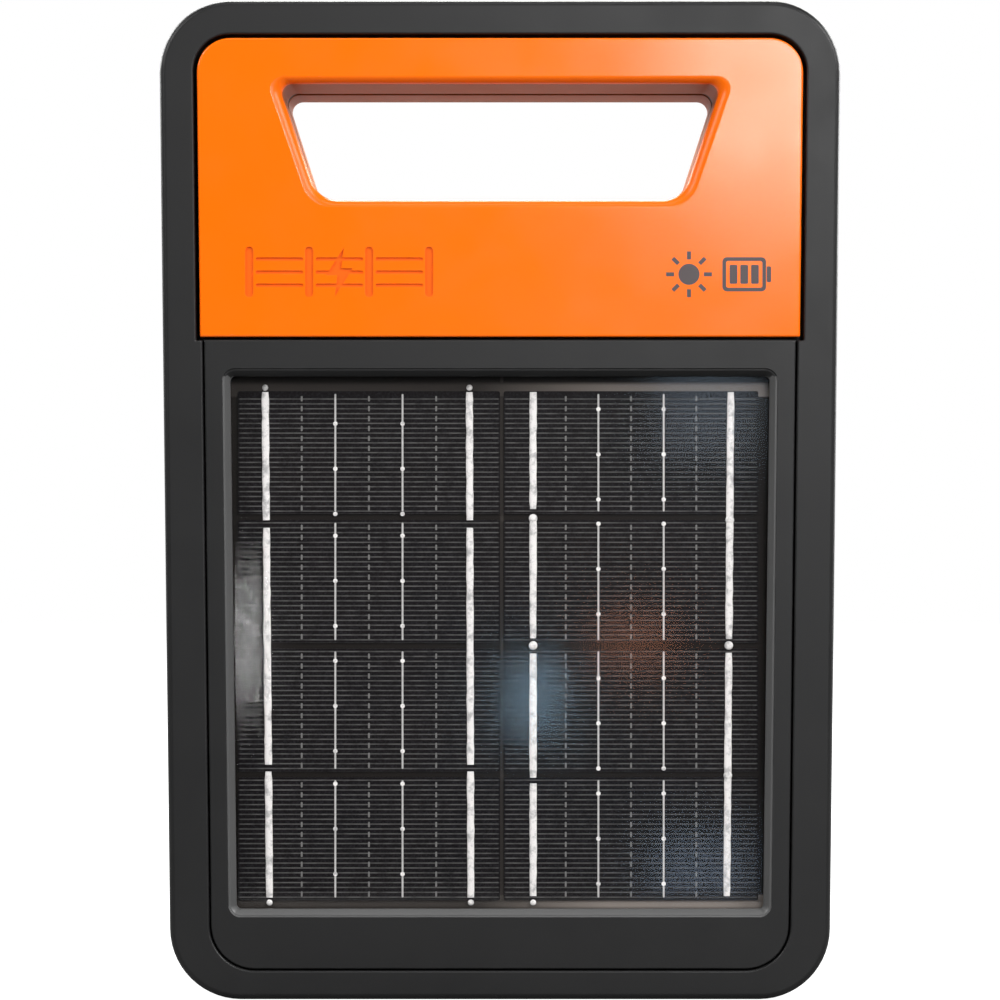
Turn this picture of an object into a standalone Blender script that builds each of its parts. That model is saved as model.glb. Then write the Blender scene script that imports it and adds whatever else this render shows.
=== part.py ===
"""Solar fence energizer: a portable, free-standing unit with a carry handle, a solar panel in the front,
a battery and pulse circuit inside, and two screw terminals in pockets at the lower back.

Frame: +X to the right and +Z up as seen from the front, which faces -Y. The origin is at the middle of the
base. Sizes are in millimetres; a depth is counted backwards from the plane of the front rim.
"""

import math

import bmesh
import bpy
from mathutils import Vector

MM = 0.001

# Driving dimensions
HEIGHT = 275.0
DEPTH = 80.0
BASE_HALF_WIDTH = 90.7
FLARE = 0.012  # how much wider each side grows per unit of height
CORNER_RADIUS = 19.6
CORNER_STEPS = 6
HIDDEN_STEPS = 3  # corners inside the case
WALL = 2.6
GAP = 0.3  # between pieces that touch
SEAM_DEPTH = 16.0  # where the front housing ends
SLAB_DEPTH = 34.0  # thickness of the upper part with the handle
RIM_WIDTH = 9.3
RIM_WIDTH_BESIDE_BEZEL = 11.0
RIM_WIDTH_BASE = 8.0
RIM_TOP_RADIUS = 10.2  # inner corners of the rim
RIM_LOW_RADIUS = 12.6
RIM_WALL = 3.0  # the rim is hollow between its outer and inner walls
RIM_INNER_WALL = 6.8
FLANGE = 3.0  # thickness of the rear case's front edge
FLOOR_FRONT = 10.4  # the front housing's recessed floor
FLOOR_BACK = 12.8
GASKET_FRONT = 14.7
COLLAR_FRONT = 3.5  # the wall round the handle opening starts just behind the fascia's lip

# Solar window and panel
WINDOW_LOW = 24.8
WINDOW_HIGH = 171.6
WINDOW_INSET = 18.4  # from the side of the case to the side of the window
WINDOW_RADIUS = 1.4
SPLIT = 182.0  # where the bezel's recess meets the fascia's
PANEL_HALF = 77.0
PANEL_LOW = 21.0
PANEL_HIGH = 175.2
CELL_COLUMNS = ((-36.3, 72.6), (36.3, 70.5))  # middle and width of each column
CELL_ROWS = 4
CELL_HEIGHT = 34.1
CELL_GAP = 1.55
CELLS_LOW = 26.6
RIBBON_SHARE = 0.385  # of a cell's width, from its middle to each broad ribbon
RIBBON_WIDTH = 2.2
SEAL_DEPTHS = (3.5, 4.1)
GLASS_DEPTHS = (4.4, 6.4)
RIBBON_DEPTHS = (6.7, 6.9)
CELL_DEPTHS = (7.2, 7.5)
BACKING_DEPTHS = (7.8, 9.4)

# Handle opening, as half width at the top and at the bottom, top and bottom height, and corner radii
FRONT_APERTURE = (65.0, 52.5, 254.3, 217.9, 5.0, 8.5)
LIP_APERTURE = (61.2, 50.0, 252.2, 220.2, 4.0, 7.5)
GRIP_APERTURE = (59.8, 50.0, 250.1, 219.9, 3.0, 6.5)
BACK_APERTURE = (62.8, 53.0, 253.0, 216.8, 5.5, 9.0)
LIP_END = 3.6
GRIP_START = 20.0
GRIP_END = 29.5
GRIP_WALL = 4.6
FACE_DEPTH = 0.5
SKIN = 2.0  # thickness of the bezel and the fascia
BEZEL_BACK = 3.2

# Rear body, which holds the battery and circuit
BODY_INSET = 6.0
BODY_TOP = 207.0
SLOPE_START = 36.0
BODY_EDGE = 5.0
CHANNEL_WIDTH = 44.0
CHANNEL_DEPTH = 14.0
POCKET_LEFT = 44.0
POCKET_RIGHT = 80.0
POCKET_FRONT = 50.0
POCKET_TOP = 48.0
KEYHOLE_X = 52.0
KEYHOLE_Z = 132.0
KEYHOLE_LIP = 3.4  # thickness of the plate that a hanging screw's head hooks behind
KEYHOLE_REACH = 7.4

# Fastenings
SCREW_PLACES = ((-78, 252), (78, 252), (-74, 140), (74, 140), (-33.5, 16), (33.5, 16))
SCREW_SEAT = 30.3
SCREW_HOLE = 2.2
SCREW_WELL = 4.3
BOSS_RADIUS = 6.4
BOSS_FRONT = 26.3
POST_RADIUS = 4.5
BOARD_SCREW_PLACES = ((-64, 34), (64, 34), (-64, 102), (64, 102))
BOARD_FRONT = 18.3
BOARD_BACK = 19.9
ON_BOARD = BOARD_BACK + GAP

# Terminals and button
TERMINAL_X = 62.0
TERMINAL_DEPTH = 64.0
COLLAR_LOW = 45.0
STUD_RADIUS = 3.0
STUD_LOW = 26.2
STUD_HEAD = 5.0
NUT_THICKNESS = 2.5
WASHER_THICKNESS = 1.5
NUT_TOP = COLLAR_LOW - GAP
WASHER_TOP = NUT_TOP - NUT_THICKNESS - GAP
KNOB_TOP = WASHER_TOP - WASHER_THICKNESS - GAP
KNOB_HEIGHT = 18.0
BUTTON_Z = 75.0
BUTTON_DEPTH = 25.0
BUTTON_RADIUS = 4.6
BUTTON_PROUD = 0.9  # how far the button stands out of the side, less than its travel of 1.2
LIGHT_Z = 94.0

# Battery
BATTERY_RADIUS = 16.1
BATTERY_X = 16.8
BATTERY_DEPTH = 36.0
BATTERY_LOW = 114.0
BATTERY_HIGH = 184.5
BATTERY_TIP = 6.0
SOLAR_LEAD_X = 56.0


def clear_scene():
    for obj in list(bpy.data.objects):
        bpy.data.objects.remove(obj)


def material(name, colour, roughness, metallic=0.0):
    made = bpy.data.materials.new(name)
    made.use_nodes = True
    surface = made.node_tree.nodes["Principled BSDF"]
    surface.inputs["Base Color"].default_value = (*colour, 1.0)
    surface.inputs["Roughness"].default_value = roughness
    surface.inputs["Metallic"].default_value = metallic
    return made


def half_width(z):
    return BASE_HALF_WIDTH + FLARE * z


def back(depth):
    """The Y of a depth behind the front plane."""
    return depth - DEPTH / 2


# Outlines: lists of (x, z) seen from the front, or of (x, depth) seen from above


def rounded(corners, radii, steps=CORNER_STEPS):
    """A polygon with each corner replaced by an arc of its own radius."""
    points = []
    count = len(corners)
    for i, (place, radius) in enumerate(zip(corners, radii)):
        corner = Vector(place)
        to_last = (Vector(corners[i - 1]) - corner).normalized()
        to_next = (Vector(corners[(i + 1) % count]) - corner).normalized()
        half = to_last.angle(to_next) / 2
        centre = corner + (to_last + to_next).normalized() * radius / math.sin(half)
        start = corner + to_last * radius / math.tan(half) - centre
        end = corner + to_next * radius / math.tan(half) - centre
        turn = start.angle_signed(end)
        first = math.atan2(start.y, start.x)
        for k in range(steps + 1):
            angle = first - turn * k / steps
            points.append((centre.x + radius * math.cos(angle), centre.y + radius * math.sin(angle)))
    return points


def rectangle(left, right, low, high, radius=0.5, steps=2):
    corners = ((left, low), (right, low), (right, high), (left, high))
    return rounded(corners, (radius,) * 4, steps)


def case_outline(inset, low, high, low_radius, high_radius, steps=CORNER_STEPS):
    """A slice of the case: sides that flare upwards, set in by inset."""
    wide_low = half_width(low) - inset
    wide_high = half_width(high) - inset
    corners = ((-wide_low, low), (wide_low, low), (wide_high, high), (-wide_high, high))
    return rounded(corners, (low_radius, low_radius, high_radius, high_radius), steps)


def shrunk_case(inset, steps=CORNER_STEPS):
    radius = CORNER_RADIUS - inset
    return case_outline(inset, inset, HEIGHT - inset, radius, radius, steps)


def bezel_edge(inset):
    """The recess that the bezel sits in, or the bezel itself when set in by a gap."""
    low = RIM_WIDTH_BASE + inset
    top = SPLIT - inset
    return case_outline(RIM_WIDTH_BESIDE_BEZEL + inset, low, top, RIM_LOW_RADIUS - inset, 0.4)


def fascia_edge(inset):
    """The recess that the fascia sits in, or the fascia itself when set in by a gap."""
    high = HEIGHT - RIM_WIDTH - inset
    low = SPLIT - 0.6 + inset
    return case_outline(RIM_WIDTH + inset, low, high, 0.4, RIM_TOP_RADIUS - inset)


def recess(name, edge):
    """A cutter for a recess in the front, down to the floor, with its rim eased."""
    rings = [upright(edge(-0.5), depth) for depth in (-2.0, 0.0)]
    rings += [upright(edge(0), depth) for depth in (0.5, FLOOR_FRONT)]
    return cutter(name, shell(rings))


def window_outline(grow=0.0, steps=HIDDEN_STEPS):
    radius = WINDOW_RADIUS + grow
    return case_outline(WINDOW_INSET - grow, WINDOW_LOW - grow, WINDOW_HIGH + grow, radius, radius, steps)


def aperture_outline(size, grow=0.0, steps=CORNER_STEPS):
    top, bottom, high, low, high_radius, low_radius = size
    corners = (
        (-bottom - grow, low - grow),
        (bottom + grow, low - grow),
        (top + grow, high + grow),
        (-top - grow, high + grow),
    )
    low_radius += grow
    high_radius += grow
    return rounded(corners, (low_radius, low_radius, high_radius, high_radius), steps)


def blend(a, b, share):
    return tuple(p + (q - p) * share for p, q in zip(a, b))


def aperture_at(depth, grow=0.0):
    """The handle opening narrows from its lip to the grip, and widens again at the back."""
    if depth < LIP_END:
        drop = (LIP_END - depth) / (LIP_END - FACE_DEPTH)
        size = blend(LIP_APERTURE, FRONT_APERTURE, 1 - math.sqrt(max(0.0, 1 - drop * drop)))
    elif depth < GRIP_START:
        size = blend(LIP_APERTURE, GRIP_APERTURE, (depth - LIP_END) / (GRIP_START - LIP_END))
    elif depth < GRIP_END:
        size = GRIP_APERTURE
    else:
        drop = min(1.0, (depth - GRIP_END) / (SLAB_DEPTH - GRIP_END))
        size = blend(GRIP_APERTURE, BACK_APERTURE, 1 - math.sqrt(1 - drop * drop))
    return aperture_outline(size, grow)


# Shells: (points, faces) in millimetres


def upright(outline, depth):
    """Puts an outline seen from the front at a depth."""
    return [(x, back(depth), z) for x, z in outline]


def level(outline, z):
    """Puts an outline seen from above at a height."""
    return [(x, back(depth), z) for x, depth in outline]


def sideways(outline, x):
    """Puts an outline of (depth, z) at a place along X."""
    return [(x, back(depth), z) for depth, z in outline]


def shell(rings, hollow=False):
    """Skins a list of rings: capped at both ends, or hollow when the last ring joins the first."""
    count = len(rings[0])
    points = [p for ring in rings for p in ring]
    spans = len(rings) if hollow else len(rings) - 1
    faces = []
    for r in range(spans):
        here = r * count
        there = (r + 1) % len(rings) * count
        for k in range(count):
            after = (k + 1) % count
            faces.append((here + k, here + after, there + after, there + k))
    if not hollow:
        faces.append(tuple(range(count)))
        faces.append(tuple(range(len(points) - count, len(points))))
    return points, faces


def circle(radius, sides, lobes=0, lobe_depth=0.0):
    """Points round a circle; lobes makes it wavy, as a grip is."""
    points = []
    for k in range(sides):
        angle = 2 * math.pi * (k + 0.5) / sides
        reach = radius + lobe_depth * math.cos(lobes * angle)
        points.append((reach * math.cos(angle), reach * math.sin(angle)))
    return points


def turned(profile, sides, axis, at=(0, 0, 0), hollow=False):
    """A turned shape: profile is (radius, distance along the axis), axis is X, Y or Z."""
    rings = []
    for radius, along in profile:
        ring = []
        for u, v in circle(radius, sides):
            place = {"X": (along, u, v), "Y": (u, along, v), "Z": (u, v, along)}[axis]
            ring.append(tuple(p + q for p, q in zip(place, at)))
        rings.append(ring)
    return shell(rings, hollow)


def rod(radius, start, end, sides, axis, at):
    return turned(((radius, start), (radius, end)), sides, axis, at)


def box(left, right, front, rear, low, high, radius=0.5):
    """A block between two depths, with its upright-to-view edges rounded."""
    outline = rectangle(left, right, low, high, radius)
    return shell([upright(outline, front), upright(outline, rear)])


def make(name, shells, surface=None, origin=(0, 0, 0)):
    """One object from one or more shells, with its origin at a point in millimetres."""
    work = bmesh.new()
    for points, faces in shells:
        made = [work.verts.new([(p - o) * MM for p, o in zip(point, origin)]) for point in points]
        for face in faces:
            work.faces.new([made[i] for i in face])
    bmesh.ops.recalc_face_normals(work, faces=work.faces)
    mesh = bpy.data.meshes.new(name)
    work.to_mesh(mesh)
    work.free()
    if surface is not None:
        mesh.materials.append(surface)
        mesh.shade_smooth()
        mesh.set_sharp_from_angle(angle=math.radians(35))
    obj = bpy.data.objects.new(name, mesh)
    obj.location = [o * MM for o in origin]
    bpy.context.scene.collection.objects.link(obj)
    return obj


def cutter(name, *shells):
    """A helper solid, which the finished object doesn't show."""
    obj = make(name, shells)
    obj.hide_render = True
    obj.display_type = "WIRE"
    return obj


def combine(target, tool, operation):
    modifier = target.modifiers.new(tool.name, "BOOLEAN")
    modifier.object = tool
    modifier.operation = operation


def cut(target, *tools):
    for tool in tools:
        combine(target, tool, "DIFFERENCE")


def join(target, *tools):
    for tool in tools:
        combine(target, tool, "UNION")


def wire(name, places, radius, surface):
    """A lead along a smooth curve through places given as (x, depth, z)."""
    points = [Vector((x, back(depth), z)) * MM for x, depth, z in places]
    path = [points[0]]
    for i in range(len(points) - 1):
        before = points[max(0, i - 1)]
        after = points[min(len(points) - 1, i + 2)]
        for k in range(1, 4):
            path.append(smooth_step(before, points[i], points[i + 1], after, k / 3))
    data = bpy.data.curves.new(name, "CURVE")
    data.dimensions = "3D"
    data.bevel_depth = radius * MM
    data.bevel_resolution = 2
    data.use_fill_caps = True
    spline = data.splines.new("POLY")
    spline.points.add(len(path) - 1)
    for point, place in zip(spline.points, path):
        point.co = (*place, 1.0)
    data.materials.append(surface)
    obj = bpy.data.objects.new(name, data)
    bpy.context.scene.collection.objects.link(obj)
    return obj


def smooth_step(before, start, end, after, t):
    """A point between start and end on a Catmull-Rom curve."""
    return 0.5 * (
        2 * start
        + (end - before) * t
        + (2 * before - 5 * start + 4 * end - after) * t**2
        + (3 * start - before - 3 * end + after) * t**3
    )


# Case


def tunnel_cutter():
    depths = [COLLAR_FRONT - 1, LIP_END, GRIP_START, GRIP_END, 31.5, 33.0, SLAB_DEPTH]
    rings = [upright(aperture_at(depth), depth) for depth in depths]
    rings.append(upright(aperture_outline(BACK_APERTURE), SLAB_DEPTH + 2))
    return cutter("tunnel_hole", shell(rings))


def rounded_end(start, radius, steps=3):
    """(depth, inset) pairs that round an edge over as it ends."""
    pairs = []
    for k in range(steps + 1):
        angle = math.pi / 2 * k / steps
        pairs.append((start + radius * math.sin(angle), radius * (1 - math.cos(angle))))
    return pairs


def slab_rings(inset, front, rear, edge, steps=CORNER_STEPS):
    """Slices of the full outline, from front to rear, with the rear edge rounded."""
    rings = [upright(shrunk_case(inset, steps), front)]
    for depth, step_in in rounded_end(rear - edge, edge):
        rings.append(upright(shrunk_case(inset + step_in, steps), depth))
    return rings


def body_outline(inset, top, steps):
    radius = CORNER_RADIUS - BODY_INSET - inset * 0.5
    return case_outline(BODY_INSET + inset, inset, top - inset, radius, radius, steps)


def body_rings(inset, front, slope_drop, rear, edge, steps=CORNER_STEPS):
    """Slices of the rear body, whose top slopes down towards the back at 45 degrees."""
    rings = [upright(body_outline(inset, BODY_TOP, steps), depth) for depth in (front, SLOPE_START)]
    for depth, step_in in rounded_end(rear - edge, edge):
        top = BODY_TOP - slope_drop - (depth - SLOPE_START)
        rings.append(upright(body_outline(inset + step_in, top + step_in * 0.4, steps), depth))
    return rings


def channel_outline(grow):
    """The post channel seen from above; grow makes the block that its wall needs."""
    mouth = CHANNEL_WIDTH / 2 + grow
    floor = mouth - 1.5
    front = DEPTH - CHANNEL_DEPTH - grow
    corners = ((-floor, front), (floor, front), (mouth, DEPTH + 4), (-mouth, DEPTH + 4))
    return rounded(corners, (3.0, 3.0, 0.5, 0.5), 3)


def pocket_block(side, grow):
    """The space round one terminal, open to the back and to the ground."""
    left, right = sorted((side * POCKET_LEFT, side * POCKET_RIGHT))
    outline = rectangle(left - grow, right + grow, POCKET_FRONT - grow, DEPTH + 5, 4.0, 3)
    return shell([level(outline, -6), level(outline, POCKET_TOP + grow)])


def keyhole_outlines(side):
    """A round hole for a screw head, with a slot above it that hooks on the shank."""
    head_radius = 5.2
    slot_half = 2.6
    slot_top = 12.0
    x = side * KEYHOLE_X
    start = math.asin(slot_half / head_radius)
    face = []
    for k in range(17):
        angle = math.pi / 2 + start + (2 * math.pi - 2 * start) * k / 16
        face.append((x + head_radius * math.cos(angle), KEYHOLE_Z + head_radius * math.sin(angle)))
    for k in range(7):
        angle = math.pi * k / 6
        face.append((x + slot_half * math.cos(angle), KEYHOLE_Z + slot_top + slot_half * math.sin(angle)))
    inner = rectangle(x - head_radius, x + head_radius, KEYHOLE_Z - head_radius,
                      KEYHOLE_Z + slot_top + head_radius, 5.0, 4)
    return face, inner


def rear_case(plastic, tunnel):
    """The rear half of the case: handle grip, battery body, post channel, terminal pockets and bosses."""
    front = SEAM_DEPTH + GAP
    case = make("rear_case", [shell(slab_rings(0, front, SLAB_DEPTH, 4.0))], plastic)
    body = cutter("body_outer", shell(body_rings(0, SLAB_DEPTH - 4, 0, DEPTH, BODY_EDGE)))
    join(case, body)

    hollow = case_hollow()
    cut(case, hollow, tunnel)
    channel = shell([level(channel_outline(0), z) for z in (-8, 242)])
    cut(case, cutter("outer_pockets", channel, *[pocket_block(side, 0) for side in (-1, 1)]))
    collars = [rod(8.0, COLLAR_LOW, POCKET_TOP + 1, 16, "Z", terminal_place(side)) for side in (-1, 1)]
    join(case, cutter("terminal_collars", *collars))
    faces = []
    inners = []
    for side in (-1, 1):
        face, inner = keyhole_outlines(side)
        lip = DEPTH - KEYHOLE_LIP
        faces.append(shell([upright(face, lip), upright(face, DEPTH + 2)]))
        inners.append(shell([upright(inner, DEPTH - KEYHOLE_REACH), upright(inner, lip + 0.3)]))
    cut(case, cutter("keyhole_faces", *faces), cutter("keyhole_inners", *inners))
    cut(case, cutter("case_drillings", *screw_wells(), *side_holes()))
    return case


def case_hollow():
    """The room inside the rear case: the slab's and the body's, less what stays solid round the holes."""
    front = SEAM_DEPTH + GAP
    flange_back = front + FLANGE
    rings = [upright(shrunk_case(RIM_WIDTH, HIDDEN_STEPS), depth) for depth in (front - 1, flange_back)]
    rings += slab_rings(WALL, flange_back, SLAB_DEPTH - WALL, 1.0, HIDDEN_STEPS)
    hollow = cutter("case_hollow", shell(rings))
    body = body_rings(WALL, front + 6, WALL * 1.4, DEPTH - WALL, BODY_EDGE - 2, HIDDEN_STEPS)
    join(hollow, cutter("body_hollow", shell(body)))
    grip = aperture_outline(GRIP_APERTURE, GRIP_WALL, HIDDEN_STEPS)
    kept = [shell([upright(grip, depth) for depth in (front - 3, SLAB_DEPTH + 6)])]
    kept.append(shell([level(channel_outline(WALL), z) for z in (-6, 240)]))
    kept += [rod(BOSS_RADIUS, back(BOSS_FRONT), back(DEPTH + 3), 12, "Y", (x, 0, z))
             for x, z in SCREW_PLACES]
    for side in (-1, 1):
        x = side * KEYHOLE_X
        kept.append(pocket_block(side, WALL))
        front_of_key = DEPTH - KEYHOLE_REACH - WALL
        kept.append(box(x - 8, x + 8, front_of_key, DEPTH + 3, KEYHOLE_Z - 8, KEYHOLE_Z + 20))
    cut(hollow, cutter("kept_solid", *kept))
    return hollow


def screw_wells():
    drill = (
        (SCREW_HOLE, back(BOSS_FRONT - 2)), (SCREW_HOLE, back(SCREW_SEAT)),
        (SCREW_WELL, back(SCREW_SEAT)), (SCREW_WELL, back(DEPTH + 4)),
    )
    return [turned(drill, 12, "Y", (x, 0, z)) for x, z in SCREW_PLACES]


def side_holes():
    """The terminals' holes, and the button's and the light's in the right side."""
    holes = [rod(STUD_RADIUS + GAP, COLLAR_LOW - 2, POCKET_TOP + 5, 12, "Z", terminal_place(side))
             for side in (-1, 1)]
    wall = half_width(BUTTON_Z)
    dish = ((5.0, wall - 6), (5.0, wall - 0.9), (6.2, wall - 0.6), (6.8, wall + 2))
    holes.append(turned(dish, 24, "X", (0, back(BUTTON_DEPTH), BUTTON_Z)))
    pipe = ((2.3, wall - 6), (2.3, wall - 1.0), (3.4, wall - 1.0), (3.4, wall + 2))
    holes.append(turned(pipe, 16, "X", (0, back(BUTTON_DEPTH), LIGHT_Z)))
    return holes


def terminal_place(side):
    return (side * TERMINAL_X, back(TERMINAL_DEPTH), 0)


def front_housing(plastic, tunnel):
    """The front half of the case: the rim, the recessed floor, and the posts that the screws hold."""
    rings = [upright(shrunk_case(1.6), 0.0), upright(shrunk_case(0.47), 0.47), upright(shrunk_case(0), 1.6)]
    rings.append(upright(shrunk_case(0), SEAM_DEPTH))
    housing = make("front_housing", [shell(rings)], plastic)
    collar_end = GASKET_FRONT - GAP
    rear = [upright(shrunk_case(RIM_WIDTH, HIDDEN_STEPS), depth) for depth in (FLOOR_BACK, collar_end)]
    rear += [upright(shrunk_case(WALL, HIDDEN_STEPS), depth) for depth in (collar_end, SEAM_DEPTH + 2)]
    depths = (RIM_WALL, collar_end + 0.8)
    coring = [upright(shrunk_case(RIM_WALL, HIDDEN_STEPS), depth) for depth in reversed(depths)]
    coring += [upright(shrunk_case(RIM_INNER_WALL, HIDDEN_STEPS), depth) for depth in depths]
    cut(housing, recess("bezel_recess", bezel_edge), recess("fascia_recess", fascia_edge))
    cut(housing, cutter("rear_recess", shell(rear)), cutter("rim_coring", shell(coring, hollow=True)))
    collar = shell([upright(aperture_at(depth, 2.4), depth) for depth in (COLLAR_FRONT, collar_end)])
    posts = [rod(POST_RADIUS, back(FLOOR_BACK - 1), back(BOSS_FRONT - GAP), 10, "Y", (x, 0, z))
             for x, z in SCREW_PLACES]
    posts += [rod(3.5, back(FLOOR_BACK - 1), back(BOARD_FRONT - GAP), 8, "Y", (x, 0, z))
              for x, z in BOARD_SCREW_PLACES]
    join(housing, cutter("front_posts", collar, *posts))
    pilots = [rod(SCREW_HOLE, back(FLOOR_BACK), back(BOSS_FRONT + 2), 8, "Y", (x, 0, z))
              for x, z in SCREW_PLACES]
    pilots += [rod(1.6, back(FLOOR_BACK), back(BOARD_FRONT + 2), 8, "Y", (x, 0, z))
               for x, z in BOARD_SCREW_PLACES]
    pilots.append(rod(3.5, back(FLOOR_FRONT - 2), back(FLOOR_BACK + 2), 12, "Y", (SOLAR_LEAD_X, 0, 124)))
    cut(housing, cutter("front_drillings", *pilots), tunnel)
    return housing


def solar_bezel(plastic):
    """The dark frame round the solar window, with a skirt that reaches the housing's floor."""
    gap = 0.4
    end = FLOOR_FRONT - GAP
    rings = [
        upright(bezel_edge(gap + 0.35), FACE_DEPTH),
        upright(bezel_edge(gap), FACE_DEPTH + 0.35),
        upright(bezel_edge(gap), end),
        upright(bezel_edge(gap + SKIN), end),
        upright(bezel_edge(gap + SKIN), BEZEL_BACK),
    ]
    bevel = ((0, BEZEL_BACK), (0, 2.3), (1.5, 0.95), (2.0, 0.95), (2.0, FACE_DEPTH))
    rings += [upright(window_outline(grow, CORNER_STEPS), depth) for grow, depth in bevel]
    return make("solar_bezel", [shell(rings, hollow=True)], plastic)


def handle_fascia(plastic):
    """The orange panel round the handle, with a lip that turns into the opening."""
    gap = 1.0
    end = FLOOR_FRONT - GAP
    rings = [
        upright(fascia_edge(gap + 0.5), FACE_DEPTH),
        upright(fascia_edge(gap + 0.15), FACE_DEPTH + 0.15),
        upright(fascia_edge(gap), FACE_DEPTH + 0.5),
        upright(fascia_edge(gap), end),
        upright(fascia_edge(gap + SKIN), end),
        upright(fascia_edge(gap + SKIN), BEZEL_BACK),
    ]
    rings += [upright(aperture_at(depth), depth) for depth in (BEZEL_BACK, 2.3, 1.4, 0.75, FACE_DEPTH)]
    return make("handle_fascia", [shell(rings, hollow=True)], plastic)


def case_seals(rubber):
    """The ring between the case halves, and the one round the handle opening."""
    ends = (GASKET_FRONT, SEAM_DEPTH)
    outer = [upright(shrunk_case(7.0, HIDDEN_STEPS), depth) for depth in ends]
    inner = [upright(shrunk_case(9.0, HIDDEN_STEPS), depth) for depth in reversed(ends)]
    make("case_gasket", [shell(outer + inner, hollow=True)], rubber)
    outer = [upright(aperture_at(depth, 2.2), depth) for depth in ends]
    inner = [upright(aperture_at(depth, 0.5), depth) for depth in reversed(ends)]
    make("tunnel_gasket", [shell(outer + inner, hollow=True)], rubber)


# Solar panel


def solar_panel(rubber, glass, silicon, tinned, board):
    sheet = rectangle(-PANEL_HALF, PANEL_HALF, PANEL_LOW, PANEL_HIGH, 2.0, HIDDEN_STEPS)
    outer = [upright(sheet, depth) for depth in SEAL_DEPTHS]
    inner = [upright(window_outline(0.4), depth) for depth in reversed(SEAL_DEPTHS)]
    make("panel_seal", [shell(outer + inner, hollow=True)], rubber)
    make("panel_glass", [shell([upright(sheet, depth) for depth in GLASS_DEPTHS])], glass)
    make("panel_backing", [shell([upright(sheet, depth) for depth in BACKING_DEPTHS])], board)
    pitch = CELL_HEIGHT + CELL_GAP
    high = CELLS_LOW + CELL_ROWS * pitch - CELL_GAP
    cell_number = 0
    ribbon_number = 0
    for middle, width in CELL_COLUMNS:
        for row in range(CELL_ROWS):
            cell_number += 1
            low = CELLS_LOW + row * pitch
            cell = box(middle - width / 2, middle + width / 2, *CELL_DEPTHS, low, low + CELL_HEIGHT)
            make(f"solar_cell_{cell_number}", [cell], silicon)
        for side in (-1, 1):
            ribbon_number += 1
            left = middle + side * RIBBON_SHARE * width - RIBBON_WIDTH / 2
            ribbon = box(left, left + RIBBON_WIDTH, *RIBBON_DEPTHS, CELLS_LOW, high, 0.1)
            make(f"cell_ribbon_{ribbon_number}", [ribbon], tinned)


# Terminals


def terminal(kind, side, steel, knob_plastic):
    """A stud that hangs from the pocket's ceiling, with its nut, washer and knob."""
    place = terminal_place(side)
    seat = POCKET_TOP + WALL + GAP
    profile = (
        (STUD_HEAD, seat + 4.0), (STUD_HEAD, seat), (STUD_RADIUS, seat),
        (STUD_RADIUS, STUD_LOW + 0.6), (STUD_RADIUS - 0.6, STUD_LOW),
    )
    make(f"{kind}_stud", [turned(profile, 12, "Z", place)], steel)

    bore = STUD_RADIUS + GAP
    nut_low = NUT_TOP - NUT_THICKNESS
    ring = ((5.5, NUT_TOP), (5.5, nut_low), (bore, nut_low), (bore, NUT_TOP))
    nut_rings = []
    for radius, z in ring:
        sides = circle(radius, 12)
        if radius > bore:
            sides = hexagon_outline(radius)
        nut_rings.append([(place[0] + u, place[1] + v, z) for u, v in sides])
    make(f"{kind}_nut", [shell(nut_rings, hollow=True)], steel)

    washer_low = WASHER_TOP - WASHER_THICKNESS
    washer = ((7.0, WASHER_TOP), (7.0, washer_low), (bore, washer_low), (bore, WASHER_TOP))
    axis_point = (place[0], place[1], WASHER_TOP)
    make(f"{kind}_washer", [turned(washer, 16, "Z", place, hollow=True)], steel, axis_point)

    low = KNOB_TOP - KNOB_HEIGHT
    collar = ((bore, low + 3.4), (bore, KNOB_TOP), (8.6, KNOB_TOP), (8.6, KNOB_TOP - 4.0))
    grip = ((9.9, KNOB_TOP - 5.2), (9.9, low + 1.6), (8.6, low))
    rings = [[(place[0] + u, place[1] + v, z) for u, v in circle(radius, 32)] for radius, z in collar]
    for radius, z in grip:
        rings.append([(place[0] + u, place[1] + v, z) for u, v in circle(radius, 32, 8, 0.9)])
    make(f"{kind}_knob", [shell(rings)], knob_plastic, (place[0], place[1], KNOB_TOP))


def hexagon_outline(across_corners):
    """Twelve points round a hexagon: its corners and the middles of its sides."""
    points = []
    for k in range(12):
        angle = 2 * math.pi * (k + 0.5) / 12 - math.pi / 12
        reach = across_corners if k % 2 == 0 else across_corners * math.cos(math.pi / 6)
        points.append((reach * math.cos(angle), reach * math.sin(angle)))
    return points


# Button and light


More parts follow.
